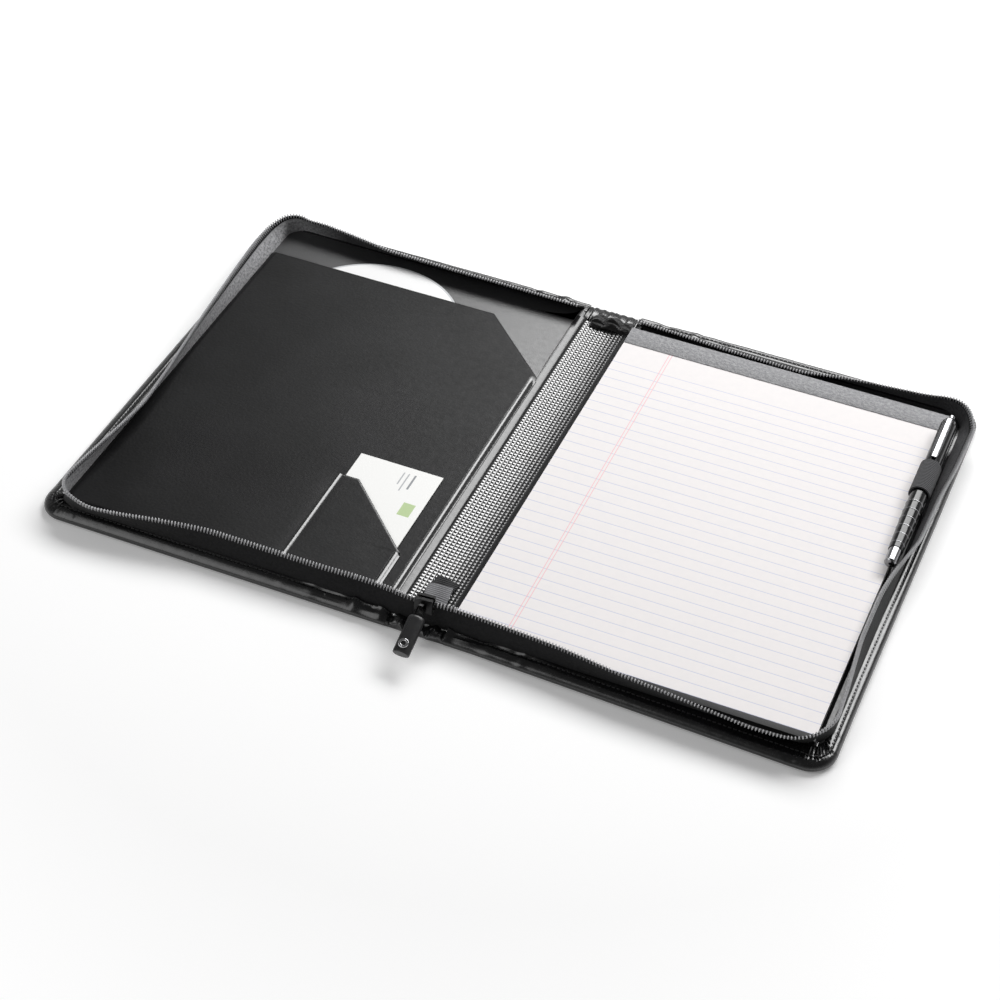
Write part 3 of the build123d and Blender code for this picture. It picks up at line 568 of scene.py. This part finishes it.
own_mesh(near_gusset)

bunch_lo, bunch_hi = box_mm("far_gusset")
bunch_deep, bunch_high = (bunch_hi - bunch_lo)[1:]
# Nylon gusset cloth: soft black, plain weave drawn 0.9 mm wide
gusset_cloth, tree, shader, spot = finish("nylon_gusset_cloth", {
    "Base Color": "#161617", "Roughness": 0.6, "Specular IOR Level": 0.4, "Sheen Weight": 0.15})
# Metres from band to band of a wave texture whose scale is 1
band_pitch = 0.314
weft, warp = (add(tree, "TexWave", {"Vector": spot, "Scale": band_pitch / 0.0009, "Distortion": 0.6},
                  bands_direction=way)[1] for way in "XZ")
threads = add(tree, "Math", {0: weft, 1: warp}, operation="ADD")[0]
wire(shader, {"Normal": add(tree, "Bump", {"Height": threads, "Distance": 0.0002})[0]})
bunch_x = np.linspace(bunch_lo[0] - 2.0, bunch_hi[0] + 2.0, 64)[:, None]
place = (bunch_x - bunch_x[0]) / (bunch_x[-1] - bunch_x[0])
angle = np.linspace(0, np.pi, 33)
humps = 0.22 + 0.3 * np.abs(np.sin(np.pi * (2.4 * place + 0.2))) ** 0.7
height = bunch_high * humps * (0.25 + 0.75 * np.sin(np.pi * np.clip(place, 0, 1)) ** 0.45)
ripple = 1 + 0.10 * np.sin(7 * angle + 5 * place) + 0.07 * np.sin(11 * angle - 9 * place)
depth = bunch_deep / 2 * (0.9 + 0.1 * np.sin(8 * place))
rings = surface(bunch_x, (bunch_lo[1] + bunch_hi[1]) / 2 + depth * np.cos(angle) * ripple,
                bunch_lo[2] + 0.1 + height * np.sin(angle) ** 0.8 * ripple)
fit(carried("far_gusset_cloth", rings, gusset_cloth), "spine", "black_leather", "far_gusset")

# Zip tapes. Woven polyester tape stands on three edges of each cover, its foot sewn between flange
# and lining. It leans in and out as it was left lying, so each wall has its own line of lean.
tape_lo, tape_hi = box_mm("back_zip_tape")
slack_lo, slack_hi = box_mm("front_tape_end")
tape_half, tape_rows, least_height = 0.45, 10, 5.0
foot_y, foot_z, row_z, wall_bend = tape_hi[1] - 0.5, 5.3, 20.3, 1.5
outer_face_mark = 60.0
tooth_pitch, tooth_long, tooth_wide, tooth_thick, tooth_sunk = 2.0, 3.4, 0.9, 2.3, 0.9
first_tooth, last_tooth = 0.6, 0.4
front_start, far_start, upright_x = 0.2 - slack_lo[0], fold_line + 2.0, 88.0


def smooth(values, span):
    """Running mean of the values with a bell-shaped window of span places."""
    window = np.hanning(span)
    return np.convolve(np.pad(values, span // 2, mode="edge"), window / window.sum(), mode="valid")


def tape_wall(name, points, inwards, walked, lean, material):
    """Band of tape whose foot follows the points and whose top stands off by the lean, bent as a power of the
    height. Gives the piece, its top line and the way up there. The V of the UV is lower on the outer face."""
    lean = lean[:, None]
    tall = np.sqrt(np.maximum((row_z - tooth_sunk - foot_z) ** 2 - lean ** 2, least_height ** 2))
    share = np.concatenate((np.linspace(0, 1, tape_rows), np.linspace(1, 0, tape_rows)))
    outer = np.arange(2 * tape_rows) < tape_rows
    shift = lean * share ** wall_bend + np.where(outer, -tape_half, tape_half)
    height = foot_z + tall * share
    mark = np.where(outer | (share > 0.85), outer_face_mark, 0)
    uv = np.stack(np.broadcast_arrays(walked[:, None], height - mark), 2)
    piece = carried(name, set_in(points, inwards, shift, height), material, uv)
    crest = np.concatenate((points + inwards * lean, foot_z + tall), 1)
    upward = np.concatenate((inwards * (wall_bend * lean / tall), np.ones_like(lean)), 1)
    return piece, crest, upward


def teeth_on(name, crest, upward, material):
    """Coil teeth at an even pitch along the tape's edge, each a bead that stands up in the tape's plane."""
    centre, ahead, stand = along_line(crest, upward, tooth_pitch, first_tooth, last_tooth)
    return row_of(name, bead(tooth_long, tooth_wide, tooth_thick), centre, stand, ahead, material)


# Woven zip tape: smooth black outside, its inner face painted paler as painted light, and painted to a pale
# grey on the left wall as painted light; its threads are drawn 1.8 mm wide to show
zip_tape, tree, shader, spot = finish("woven_zip_tape", {
    "Roughness": 0.75, "Specular IOR Level": 0.2, "Sheen Weight": 0.1})
cloth_uv = add(tree, "TexCoord", {})["UV"]
fuzz = add(tree, "TexNoise", {"Vector": cloth_uv, "Scale": 550.0, "Detail": 4.0, "Roughness": 0.7})[0]
woven = add(tree, "MapRange", {0: fuzz, 1: 0.38, 2: 0.62})[0]
marked = add(tree, "SeparateXYZ", {0: cloth_uv})["Y"]
outside = add(tree, "Math", {0: marked, 1: -0.02}, operation="LESS_THAN")[0]
# Painted light: the inner face is painted paler than the outside, and the left wall's inner face a pale grey,
# where the lamp falls on them
place = add(tree, "SeparateXYZ", {0: spot})["X"]
wear_and_painted_light = add(tree, "MapRange", {0: place, 1: -0.195, 2: -0.225})[0]
painted_lit_inside, pale, plain = (
    add(tree, "Mix", {0: woven, 6: deep, 7: light}, data_type="RGBA")[2]
    for deep, light in (("#2e2e30", "#4a4a4c"), ("#757577", "#aeaeb0"), ("#0f0f10", "#1b1b1c")))
inside_painted_light = add(tree, "Mix", {0: wear_and_painted_light, 6: painted_lit_inside, 7: pale}, data_type="RGBA")[2]
cloth = add(tree, "Mix", {0: outside, 6: inside_painted_light, 7: plain}, data_type="RGBA")[2]
wire(shader, {"Base Color": cloth,
              "Normal": add(tree, "Bump", {"Height": fuzz, "Distance": 0.0003})[0]})
# Nylon coil: black nylon painted a pale grey as a painted highlight, and shiny, so each tooth catches the
# light
coil_painted_pale = rubbed("nylon_coil_painted_highlight", "#c2c2c4", 700.0, 0.12, 0.26, {"Specular IOR Level": 1.0})

# Lean of the top in mm inwards: out from the spine along the near run, up the side, and out from the spine
# on the far run; distances past a run's straight part are measured on round the corner
front_lean = (((43, 6), (65, 4.5), (136, 4.5), (190, -4.5), (210, -6.5), (218, -5.5), (234, 0)),
              ((-140, 0.5), (-90, 5.5), (-65, 7), (-30, 5), (30, -0.5), (55, -2.5), (120, -8.5), (140, -7.5)),
              ((20, 10.5), (115, 10), (160, 9.5), (190, 6.5), (212, 4.5), (225, 5), (240, -2)))
back_lean = (((20, 4.5), (35, 4), (85, 0.5), (125, -4.5), (200, -9.5), (222, -9), (241, -2.5)),
             ((-140, -0.5), (-120, 0.5), (-80, 4), (-40, 4), (-22, 2), (15, -5), (60, -6), (90, -8),
              (135, -9)),
             ((20, 10), (80, 11.5), (135, 12), (170, 9), (215, 6.5), (230, 4), (241, -1.5), (252, -5)))
for side, cover, start, foot_x, foot_corner, tables in (
        (-1, "front", front_start, 236.2, 12.0, front_lean), (1, "back", far_start, 241.9, 19.5, back_lean)):
    points, inwards, walked, ends = walk_round(side, foot_x, foot_y, foot_corner, start, far_start, 1.5)
    near, along, far = (np.array(table, float) for table in tables)
    place = np.concatenate((near[:, 0] - start, ends[2] + along[:, 0] + foot_y - foot_corner,
                            ends[4] + foot_x - foot_corner - far[::-1, 0]))
    lean = smooth(np.interp(walked, place, np.concatenate((near[:, 1], along[:, 1], far[::-1, 1]))), 15)
    # The back wall's near run is a piece of its own from the place where it stands upright
    parts = [("", 0.0, ends[-1])]
    if cover == "back":
        upright = upright_x - start
        parts = [("_near", 0.0, upright), ("_run", upright, ends[1]), ("", ends[1], ends[-1])]
    for part, low, high in parts:
        cut = slice(np.argmin(np.abs(walked - low)), np.argmin(np.abs(walked - high)) + 1)
        tape, crest, upward = tape_wall(
            cover + "_twill_tape" + part, points[cut], inwards[cut], walked[cut], lean[cut], zip_tape)
        teeth = teeth_on(cover + "_coil_teeth" + part, crest, upward, coil_painted_pale)
        fit(tape, cover + "_cover", "woven_tape", *(() if part else (cover + "_zip_tape",)))
        fit(teeth, cover + "_cover", "nylon_teeth", *(() if part else (cover + "_zip_teeth",)))
        for piece in (tape, teeth):
            if part == "_run":
                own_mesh(piece)
            if cover == "front":
                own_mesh(piece)

# Slack ends of the tapes. Both hang free where they cross the spine's near end to the slider.
for cover, low_x, high_x, joint, anchor, keep, bends, replaced in (
        ("front", -front_start, slack_hi[0] + 3.5, "cover_fold", -front_start, 0.3,
         ((-43, 6), (-28, 5.5), (-8, 2.5)), ("front_tape_end",)),
        ("back", tape_lo[0], far_start, "spine_fold", far_start, 0.45,
         ((-5, 2.5), (3, 2.5), (20, 4.5)), ())):
    slack_x = np.linspace(low_x, high_x, 41)
    points = np.stack((slack_x, np.full_like(slack_x, -foot_y)), 1)
    inwards = np.stack((slack_x * 0, slack_x * 0 + 1), 1)
    lean = np.interp(slack_x, *np.array(bends, float).T)
    slack, crest, upward = tape_wall(cover + "_tape_slack", points, inwards, slack_x - low_x, lean, zip_tape)
    fit(slack, cover + "_cover", "woven_tape", *replaced)
    slack_teeth = teeth_on(cover + "_coil_slack", crest, upward, coil_painted_pale)
    fit(slack_teeth, cover + "_cover", "nylon_teeth")
    for piece in (slack, slack_teeth):
        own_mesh(piece)

# Zip end tab. A short woven ribbon, doubled back on itself, is stitched to the near end of the strip;
# its two flaps lie askew, one on the other.
tab_lo, tab_hi = box_mm("zip_end_tab")
tab_thick, rib_pitch, rib_rise = 0.8, 1.5, 0.08
# Grosgrain ribbon: cross ribs of 1 mm drawn 1.5 mm apart, the upper flap grey and the lower one black
for name, shade_name, deep, light, slot, low, near_cut, far_cut, curl, twist, replaced in (
        ("end_tab_lower", "black_grosgrain", "#1b1b1c", "#333335", "woven_tape",
         tab_lo[2] + 0.45, 0.0, 0.1, 0.0, -0.16, ()),
        ("end_tab_upper", "grey_grosgrain", "#606062", "#8c8c8f", "grey_tape",
         tab_lo[2] + 1.3, -4.5, 7.0, -0.8, 0.12, ("zip_end_tab",))):
    ribbon, tree, shader, spot = finish(shade_name, {"Roughness": 0.7, "Specular IOR Level": 0.3})
    rib = add(tree, "TexWave", {"Vector": spot, "Scale": band_pitch / (rib_pitch * MM), "Distortion": 0.3},
              bands_direction="Y")[1]
    shade = add(tree, "Mix", {0: rib, 6: deep, 7: light}, data_type="RGBA")[2]
    wire(shader, {"Base Color": shade,
                  "Normal": add(tree, "Bump", {"Height": rib, "Distance": 0.0003})[0]})
    near_end = tab_lo[1] + near_cut
    grid_x, grid_y = np.meshgrid(np.linspace(tab_lo[0], tab_hi[0], 31),
                                 np.linspace(near_end, tab_hi[1] - far_cut, 41))
    bow = curl * rise(-grid_y, -near_end - 6, -near_end) - 0.3 * (grid_x / tab_hi[0]) ** 2
    ribs = rib_rise * np.sin(grid_y * 2 * np.pi / rib_pitch)
    middle = grid_y.mean()
    turned_x = grid_x * np.cos(twist) - (grid_y - middle) * np.sin(twist)
    turned_y = grid_x * np.sin(twist) + (grid_y - middle) * np.cos(twist) + middle
    tab = slab(name, turned_x, turned_y, low + tab_thick + bow + ribs, low + bow, ribbon)
    fit(tab, "spine", slot, *replaced)

# Slider and pull. A die-cast slider, enamelled black, runs on the back row; a wire link hangs from it
# with a grip of rolled leather, closed by an eyelet near its end.
# Black enamelled zinc: smooth, with a shine that varies over some 3 mm
enamel = rubbed("enamelled_zinc", "#161617", 300.0, 0.22, 0.40, {"Metallic": 0.35})
# Dark nickel plate: a grey mirror with faint rub marks
nickel = rubbed("dark_nickel_plate", "#c9c9cb", 900.0, 0.16, 0.34, {"Metallic": 1.0})
dress(enamel, "slider_body", "pull_link")
dress(nickel, "pull_eyelet")
swing = next(joint for joint in frame["joints"] if joint["name"] == "pull_swing")
pivot = np.array(swing["pos_m"]) / MM
droop = np.radians(20.0)
grip_start, grip_end, grip_wide, grip_thick, grip_blunt = 6.6, 31.4, 10.2, 7.0, 0.92
groove_depth, groove_angle, groove_width = 0.16, 2.2, 0.13
# Rolled pull leather: black and smooth from handling
pull_leather = leather("rolled_pull_leather", "#1c1c1d", "#2b2b2c", 0.36, 0.5, 1.1, 0.04)
along = np.concatenate((grip_start + np.array((0, 0.25, 0.8, 1.8)),
                        np.linspace(grip_start + 3, grip_end - 1.0, 16),
                        grip_end - np.array((0.45, 0.15, 0.0))))
girth = np.concatenate(((0.62, 0.78, 0.92, 0.98), np.full(16, 1.0), (0.99, 0.97, 0.93)))
angle = np.linspace(0, 2 * np.pi, 40, endpoint=False)
groove = 1 - groove_depth * np.exp(-(np.angle(np.exp(1j * (angle - groove_angle))) / groove_width) ** 2)
flat_x, flat_z = (np.sign(way) * np.abs(way) ** grip_blunt * size / 2 * groove
                  for way, size in ((np.cos(angle), grip_wide), (np.sin(angle), grip_thick)))
down = np.array((0, -np.cos(droop), -np.sin(droop)))
proud = np.array((0, -np.sin(droop), np.cos(droop)))
rings = (pivot + along[:, None, None] * down + (girth[:, None] * flat_x)[:, :, None] * np.array((1, 0, 0))
         + (girth[:, None] * flat_z)[:, :, None] * proud)
fit(carried("rolled_pull_grip", rings, pull_leather), "zip_pull", "black_leather", "pull_grip")

# Pockets. On the front cover a wide document pocket is sewn down on three sides, with its far corner by
# the spine cut away, and a card pocket of the same cut is sewn onto its face; a plain one holds the pad.
# Brushed pocket leather: black, soft and dull, with a 1.7 mm grain
pocket_dull = 0.17
pocket_leather = leather("brushed_pocket_leather", "#0c0c0d", "#171718", 0.44, pocket_dull, 1.7, 0.05)
# Its turned edges are polished by handling and show as thin bright lines
tree = pocket_leather.node_tree
shader = tree.nodes["Principled BSDF"]
polished = add(tree, "Attribute", {}, attribute_name="hem")["Fac"]
matt = shader.inputs["Roughness"].links[0].from_socket
wire(shader, {"Roughness": add(tree, "MapRange", {0: polished, 3: matt, 4: 0.2})[0],
              "Specular IOR Level": add(tree, "MapRange", {0: polished, 3: pocket_dull, 4: 0.9})[0]})
edge_steps = np.array((0.0, 0.12, 0.35, 0.7, 1.05, 1.4, 1.8, 2.2, 2.7, 3.2, 3.8, 4.6))
edge_width = edge_steps[-1]
inner = np.linspace(0, 1, 72)[1:-1]
hem_rise, seam_sag, seam_reach, far_off = 0.4, 0.55, 4.5, 100.0
free_fall, panel_wave, least_thick = 0.45, 0.16, 0.3
case_lo, case_hi = box_mm("card_pocket")
case_seam, no_seam = (case_lo[0], case_hi[1]), (0.0, -1000.0)
# Each panel is a plate on a grid of rows between its left and right edge: the right edge runs back over the
# chamfer, the left one round a corner; sewn edges fall by drop within 4 mm, free edges are rounded over, and
# the face sags along a seam that is sewn into it
for node, body, left_in, face_in, chamfer, corner, thick, drop, left_hem, seam in (
        ("document_pocket", "front_cover", 0.8, 0.15, 51.0, 8.0, 0.9, 2.4, 0.0, case_seam),
        ("card_pocket", "front_cover", 0.0, 0.0, 50.0, 0.0, 0.8, 1.5, 1.0, no_seam),
        ("pad_pocket", "back_cover", 0.0, 0.1, 0.0, 0.0, 0.7, 1.6, 0.0, no_seam)):
    low, high = box_mm(node)
    left, near = low[0] + left_in, low[1]
    right, far, face = high - (0, 0, face_in)
    y = np.concatenate((near + edge_steps, near + edge_width + inner * (far - near - 2 * edge_width),
                        far - edge_steps[::-1]))[:, None]
    bend = np.clip(corner - (y - near), 0, corner)
    left_edge = left + corner - np.sqrt(np.maximum(corner ** 2 - bend ** 2, 0))
    right_edge = right - np.clip(y - (far - chamfer), 0, None)
    between = left_edge + edge_width + inner * (right_edge - left_edge - 2 * edge_width)
    x = np.concatenate((left_edge + edge_steps, between, right_edge - edge_steps[::-1]), 1)
    cut = y > far - chamfer
    to_left, to_right = x - left_edge, right_edge - x + far_off * cut
    sewn = np.minimum(np.minimum(to_left * (1 + 3 * left_hem), y - near), to_right)
    free = np.minimum(far - y, np.where(cut, (right_edge - x) * 0.707, far_off))
    wave = panel_wave * np.sin(x / 31 + 0.6) * np.sin(y / 43 + 1.0) * rise(sewn, 6, 30)
    hem = np.exp(-((to_right - 2.2) / 1.0) ** 2) + left_hem * np.exp(-((to_left - 1.3) / 0.7) ** 2)
    sag = seam_sag * np.exp(-np.abs(x - seam[0]) / seam_reach) * (1 - rise(y, seam[1] - 6, seam[1] + 10))
    fall = drop * (1 - rise(sewn, -1.2, 3.6))
    over = face - fall - free_fall * (1 - rise(free, -0.5, 0.6)) + wave + hem_rise * hem - sag
    under = np.minimum(over - least_thick, face - thick + wave * 0.5 - fall)
    panel = slab(node + "_leather", x, y, over, under, pocket_leather)
    shiny = np.maximum(1 - rise(to_right, 3.4, 4.6), left_hem * (1 - rise(to_left, 2.4, 3.4)))
    shiny = np.maximum(shiny, 0.7 * left_hem * (1 - rise(free, 0.9, 1.6)))
    panel.data.attributes.new("hem", "FLOAT", "POINT").data.foreach_set("value", np.tile(shiny.ravel(), 2))
    fit(panel, body, "pocket_leather", node)

# Disc and business card. A plain white disc lies in the document pocket and a card in the card pocket,
# and both stick out past the edges of their pockets.
disc_centre = box_mm("compact_disc").mean(0)
# Printed polycarbonate: white ink, glossy, with a bare rim
disc_face, tree, shader, spot = finish("printed_polycarbonate", {"Roughness": 0.3, "Specular IOR Level": 0.4})
off = add(tree, "VectorMath", {0: spot, 1: (disc_centre * MM).tolist()}, operation="SUBTRACT")[0]
flat = add(tree, "VectorMath", {0: off, 1: (1, 1, 0)}, operation="MULTIPLY")[0]
radius = add(tree, "VectorMath", {0: flat}, operation="LENGTH")["Value"]
rim = add(tree, "MapRange", {0: radius, 1: 0.0583, 2: 0.0588})[0]
ink = add(tree, "Mix", {0: rim, 6: "#f1f1f1", 7: "#c4c6c8"}, data_type="RGBA")[2]
wire(shader, {"Base Color": ink})
dress(disc_face, "compact_disc")


def printed(tree, place, middle, reach, blur):
    """1 on a printed bar, where place is within reach of middle, and 0 off it, over an edge of blur."""
    apart = add(tree, "Math", {0: place, 1: middle}, operation="SUBTRACT")[0]
    apart = add(tree, "Math", {0: apart}, operation="ABSOLUTE")[0]
    return add(tree, "MapRange", {0: apart, 1: reach, 2: reach - blur})[0]


# Coated card: white, with generic grey bars for print and one pale green patch
card_stock, tree, shader, spot = finish("coated_card", {"Roughness": 0.45, "Specular IOR Level": 0.3})
split = add(tree, "SeparateXYZ", {0: spot})
face = "#f6f6f4"
for low_x, high_x, low_y, high_y, ink in (
        (-52.0, -50.4, -63.0, -49.0, "#8f9296"), (-56.0, -54.8, -66.0, -49.0, "#b4b6b9"),
        (-59.2, -58.0, -61.0, -49.0, "#b4b6b9"), (-48.0, -40.0, -86.0, -74.0, "#b9cf9a")):
    in_x, in_y = (printed(tree, split[axis], (low + high) / 2 * MM, (high - low) / 2 * MM, 0.0003)
                  for axis, low, high in (("X", low_x, high_x), ("Y", low_y, high_y)))
    mask = add(tree, "Math", {0: in_x, 1: in_y}, operation="MULTIPLY")[0]
    face = add(tree, "Mix", {0: mask, 6: face, 7: ink}, data_type="RGBA")[2]
wire(shader, {"Base Color": face})
dress(card_stock, "business_card")

# Writing pad. Sheets of ruled paper are glued to a backing board, which slips into the pad pocket, and a
# grey pressed strip is folded over the head.
pad_lo, pad_hi = box_mm("pad_sheets")
first_rule, rule_pitch, rule_width = 105.5 * MM, 8.73 * MM, 0.5 * MM
margins, margin_width, print_blur = (50.6, 52.6), 0.45 * MM, 0.2 * MM
leaf_pitch, sheet_curl, curl_reach = 0.35 * MM, 0.35, 45.0
# Writing paper: soft white; pale lilac rules and a double pink margin, drawn 0.5 mm wide to show, and
# the sheets' cut edges as fine grey lines
ruled_paper, tree, shader, spot = finish("ruled_writing_paper", {
    "Roughness": 0.8, "Specular IOR Level": 0.15})
split = add(tree, "SeparateXYZ", {0: spot})
step = add(tree, "Math", {0: split["Y"], 1: first_rule}, operation="SUBTRACT")[0]
step_half = add(tree, "Math", {0: step, 1: rule_pitch / 2}, operation="ADD")[0]
cycle = add(tree, "Math", {0: step_half, 1: rule_pitch}, operation="FLOORED_MODULO")[0]
ruled = printed(tree, cycle, rule_pitch / 2, (rule_width + print_blur) / 2, print_blur)
below = add(tree, "Math", {0: step, 1: rule_pitch / 2}, operation="LESS_THAN")[0]
ruled = add(tree, "Math", {0: ruled, 1: below}, operation="MULTIPLY")[0]
fibre = add(tree, "TexNoise", {"Vector": spot, "Scale": 260.0, "Detail": 4.0})[0]
sheet = add(tree, "Mix", {0: fibre, 6: "#edeaea", 7: "#f4f0ef"}, data_type="RGBA")[2]
sheet = add(tree, "Mix", {0: ruled, 6: sheet, 7: "#c9cde2"}, data_type="RGBA")[2]
for margin in margins:
    line = printed(tree, split["X"], margin * MM, (margin_width + print_blur) / 2, print_blur)
    sheet = add(tree, "Mix", {0: line, 6: sheet, 7: "#f2c0c6"}, data_type="RGBA")[2]
leaf = add(tree, "TexWave", {"Vector": spot, "Scale": band_pitch / leaf_pitch, "Distortion": 1.2},
           bands_direction="Z")[1]
upright = add(tree, "SeparateXYZ", {0: add(tree, "NewGeometry", {})["Normal"]})["Z"]
side_on = add(tree, "MapRange", {0: upright, 1: 0.7, 2: 0.3})[0]
edges = add(tree, "Mix", {0: leaf, 6: "#a9a9aa", 7: "#dededd"}, data_type="RGBA")[2]
paper = add(tree, "Mix", {0: side_on, 6: sheet, 7: edges}, data_type="RGBA")[2]
wire(shader, {"Base Color": paper})
grid_x, grid_y = np.meshgrid(np.linspace(pad_lo[0], pad_hi[0], 49), np.linspace(pad_lo[1], pad_hi[1], 61))
to_right = (grid_x - pad_lo[0]) / (pad_hi[0] - pad_lo[0])
curl = sheet_curl * (1 - rise(grid_y - pad_lo[1], 0, curl_reach)) * (0.4 + 0.6 * to_right)
pages = slab("ruled_sheets", grid_x, grid_y, pad_hi[2] - 0.05 + curl, pad_lo[2], ruled_paper)
fit(pages, "writing_pad", "ruled_paper", "pad_sheets")
# Pressed grey strip board: mottled like leather, 2.2 mm flecks
strip_board, tree, shader, spot = finish("pressed_strip_board", {
    "Specular IOR Level": 0.4, "Roughness": 0.45})
mottle = add(tree, "TexNoise", {"Vector": spot, "Scale": 450.0, "Detail": 5.0, "Roughness": 0.65})[0]
mottle = add(tree, "MapRange", {0: mottle, 1: 0.38, 2: 0.62})[0]
grey = add(tree, "Mix", {0: mottle, 6: "#828285", 7: "#9f9fa1"}, data_type="RGBA")[2]
wire(shader, {"Base Color": grey,
              "Normal": add(tree, "Bump", {"Height": mottle, "Distance": 0.0002})[0]})
bind_lo, bind_hi = box_mm("pad_binding")
near_end, far_end, bind_top = bind_lo[1], bind_hi[1], bind_hi[2]
bind_y = np.array((near_end, near_end, near_end + 0.25, far_end - 1.0, far_end - 0.4, far_end - 0.1,
                   far_end, far_end, far_end - 0.45, far_end - 0.45))
bind_z = np.array((bind_top - 0.5, bind_top - 0.15, bind_top, bind_top, bind_top - 0.12, bind_top - 0.4,
                   bind_top - 1.0, bind_lo[2], bind_lo[2], bind_top - 0.5))
rings = surface(np.linspace(bind_lo[0], bind_hi[0], 40)[:, None], bind_y, bind_z)
fit(carried("pad_head_strip", rings, strip_board), "writing_pad", "binding_board", "pad_binding")
dress(chipboard, "pad_backing")

# Pen. A click ballpoint lies beside the pad: a black lacquered brass barrel with a plated nose, button
# and sprung clip, and bright rings pressed onto its grip and its middle.
# Chrome plate: a grey mirror with fine polish marks
chrome = rubbed("chrome_plate", "#8e8e90", 1200.0, 0.08, 0.2, {"Metallic": 1.0})
# Black lacquer on brass: deep gloss
lacquer = rubbed("black_lacquer", "#08080a", 600.0, 0.1, 0.18, {"Specular IOR Level": 0.4})
# Polypropylene refill: milky blue-grey with a dull skin
refill = rubbed("polypropylene_refill", "#9fa6b0", 800.0, 0.35, 0.5, {})
dress(chrome, "pen_nose", "pen_clip", "pen_button")
dress(lacquer, "pen_lower_barrel", "pen_upper_barrel")
dress(refill, "pen_refill")
barrel = box_mm("pen_upper_barrel")
pen_x, pen_z = barrel.mean(0)[[0, 2]]
pen_radius = (barrel[1, 0] - barrel[0, 0]) / 2
ring_along = np.array((-1.0, -0.9, -0.5, 0.5, 0.9, 1.0))
ring_proud = np.array((-0.25, 0.16, 0.28, 0.28, 0.16, -0.25))


def turned(radius, y, steps):
    """Profile of radii at places along the pen, turned round the pen's axis in so many steps."""
    angle = np.linspace(0, 2 * np.pi, steps, endpoint=False)[:, None]
    return surface(pen_x + radius * np.cos(angle), y, pen_z + radius * np.sin(angle))


middle_ring = 82.5
ring_places = (42.0, 34.2, 26.4, 18.6, 10.8, 3.0, middle_ring)
for number, ring_y in enumerate(ring_places, 1):
    ring_half = 1.1 if ring_y == middle_ring else 0.5
    girth = np.interp(ring_y, (5.0, 20.5, 36.0), (pen_radius - 0.8, pen_radius - 0.25, pen_radius))
    rings = turned(girth + ring_proud, ring_y + ring_half * ring_along, 48)
    fit(carried(f"pen_ring_{number}", rings, chrome, closed=True), "pen", "chrome")

# Pen loop. A band of ribbed elastic goes once round the pen, and its tail is sewn to the lining beside
# the pad.
loop_lo, loop_hi = box_mm("pen_loop")
loop_radius, loop_thick, tail_half, cord_pitch, cord_rise = loop_hi[2] - pen_z, 1.1, 0.55, 1.4, 0.12
# Woven elastic: charcoal, its rubber cords showing as ribs 1.4 mm apart
elastic, tree, shader, spot = finish("woven_elastic", {
    "Roughness": 0.8, "Specular IOR Level": 0.25, "Sheen Weight": 0.2})
cords = add(tree, "TexWave", {"Vector": spot, "Scale": band_pitch / (cord_pitch * MM), "Distortion": 0.3},
            bands_direction="Y")[1]
loose = add(tree, "TexNoise", {"Vector": spot, "Scale": 1400.0, "Detail": 2.0})[0]
knit = add(tree, "Math", {0: cords, 1: loose}, operation="MULTIPLY")[0]
shade = add(tree, "Mix", {0: knit, 6: "#353537", 7: "#6c6c6f"}, data_type="RGBA")[2]
wire(shader, {"Base Color": shade,
              "Normal": add(tree, "Bump", {"Height": knit, "Distance": 0.0003})[0]})
band_y = np.linspace(loop_lo[1], loop_hi[1], 85)
band_out = loop_radius - cord_rise + cord_rise * np.sin(band_y * 2 * np.pi / cord_pitch)
band_back = band_y[::-12]
rings = turned(np.concatenate((band_out, band_back * 0 + loop_radius - loop_thick)),
               np.concatenate((band_y, band_back)), 64)
fit(carried("elastic_pen_loop", rings, elastic, closed=True), "back_cover", "elastic", "pen_loop")
tail_x, tail_foot, tail_top = pen_x + 3.2, 6.1, pen_z - loop_radius + 1.7
tail_y = np.concatenate((band_y[::4], band_y[::-4]))
tail_off = np.repeat((tail_half, -tail_half), len(tail_y) // 2)
rings = surface(tail_x + tail_off, tail_y, np.linspace(tail_foot, tail_top, 12)[:, None])
fit(carried("elastic_loop_tail", rings, elastic), "back_cover", "elastic")
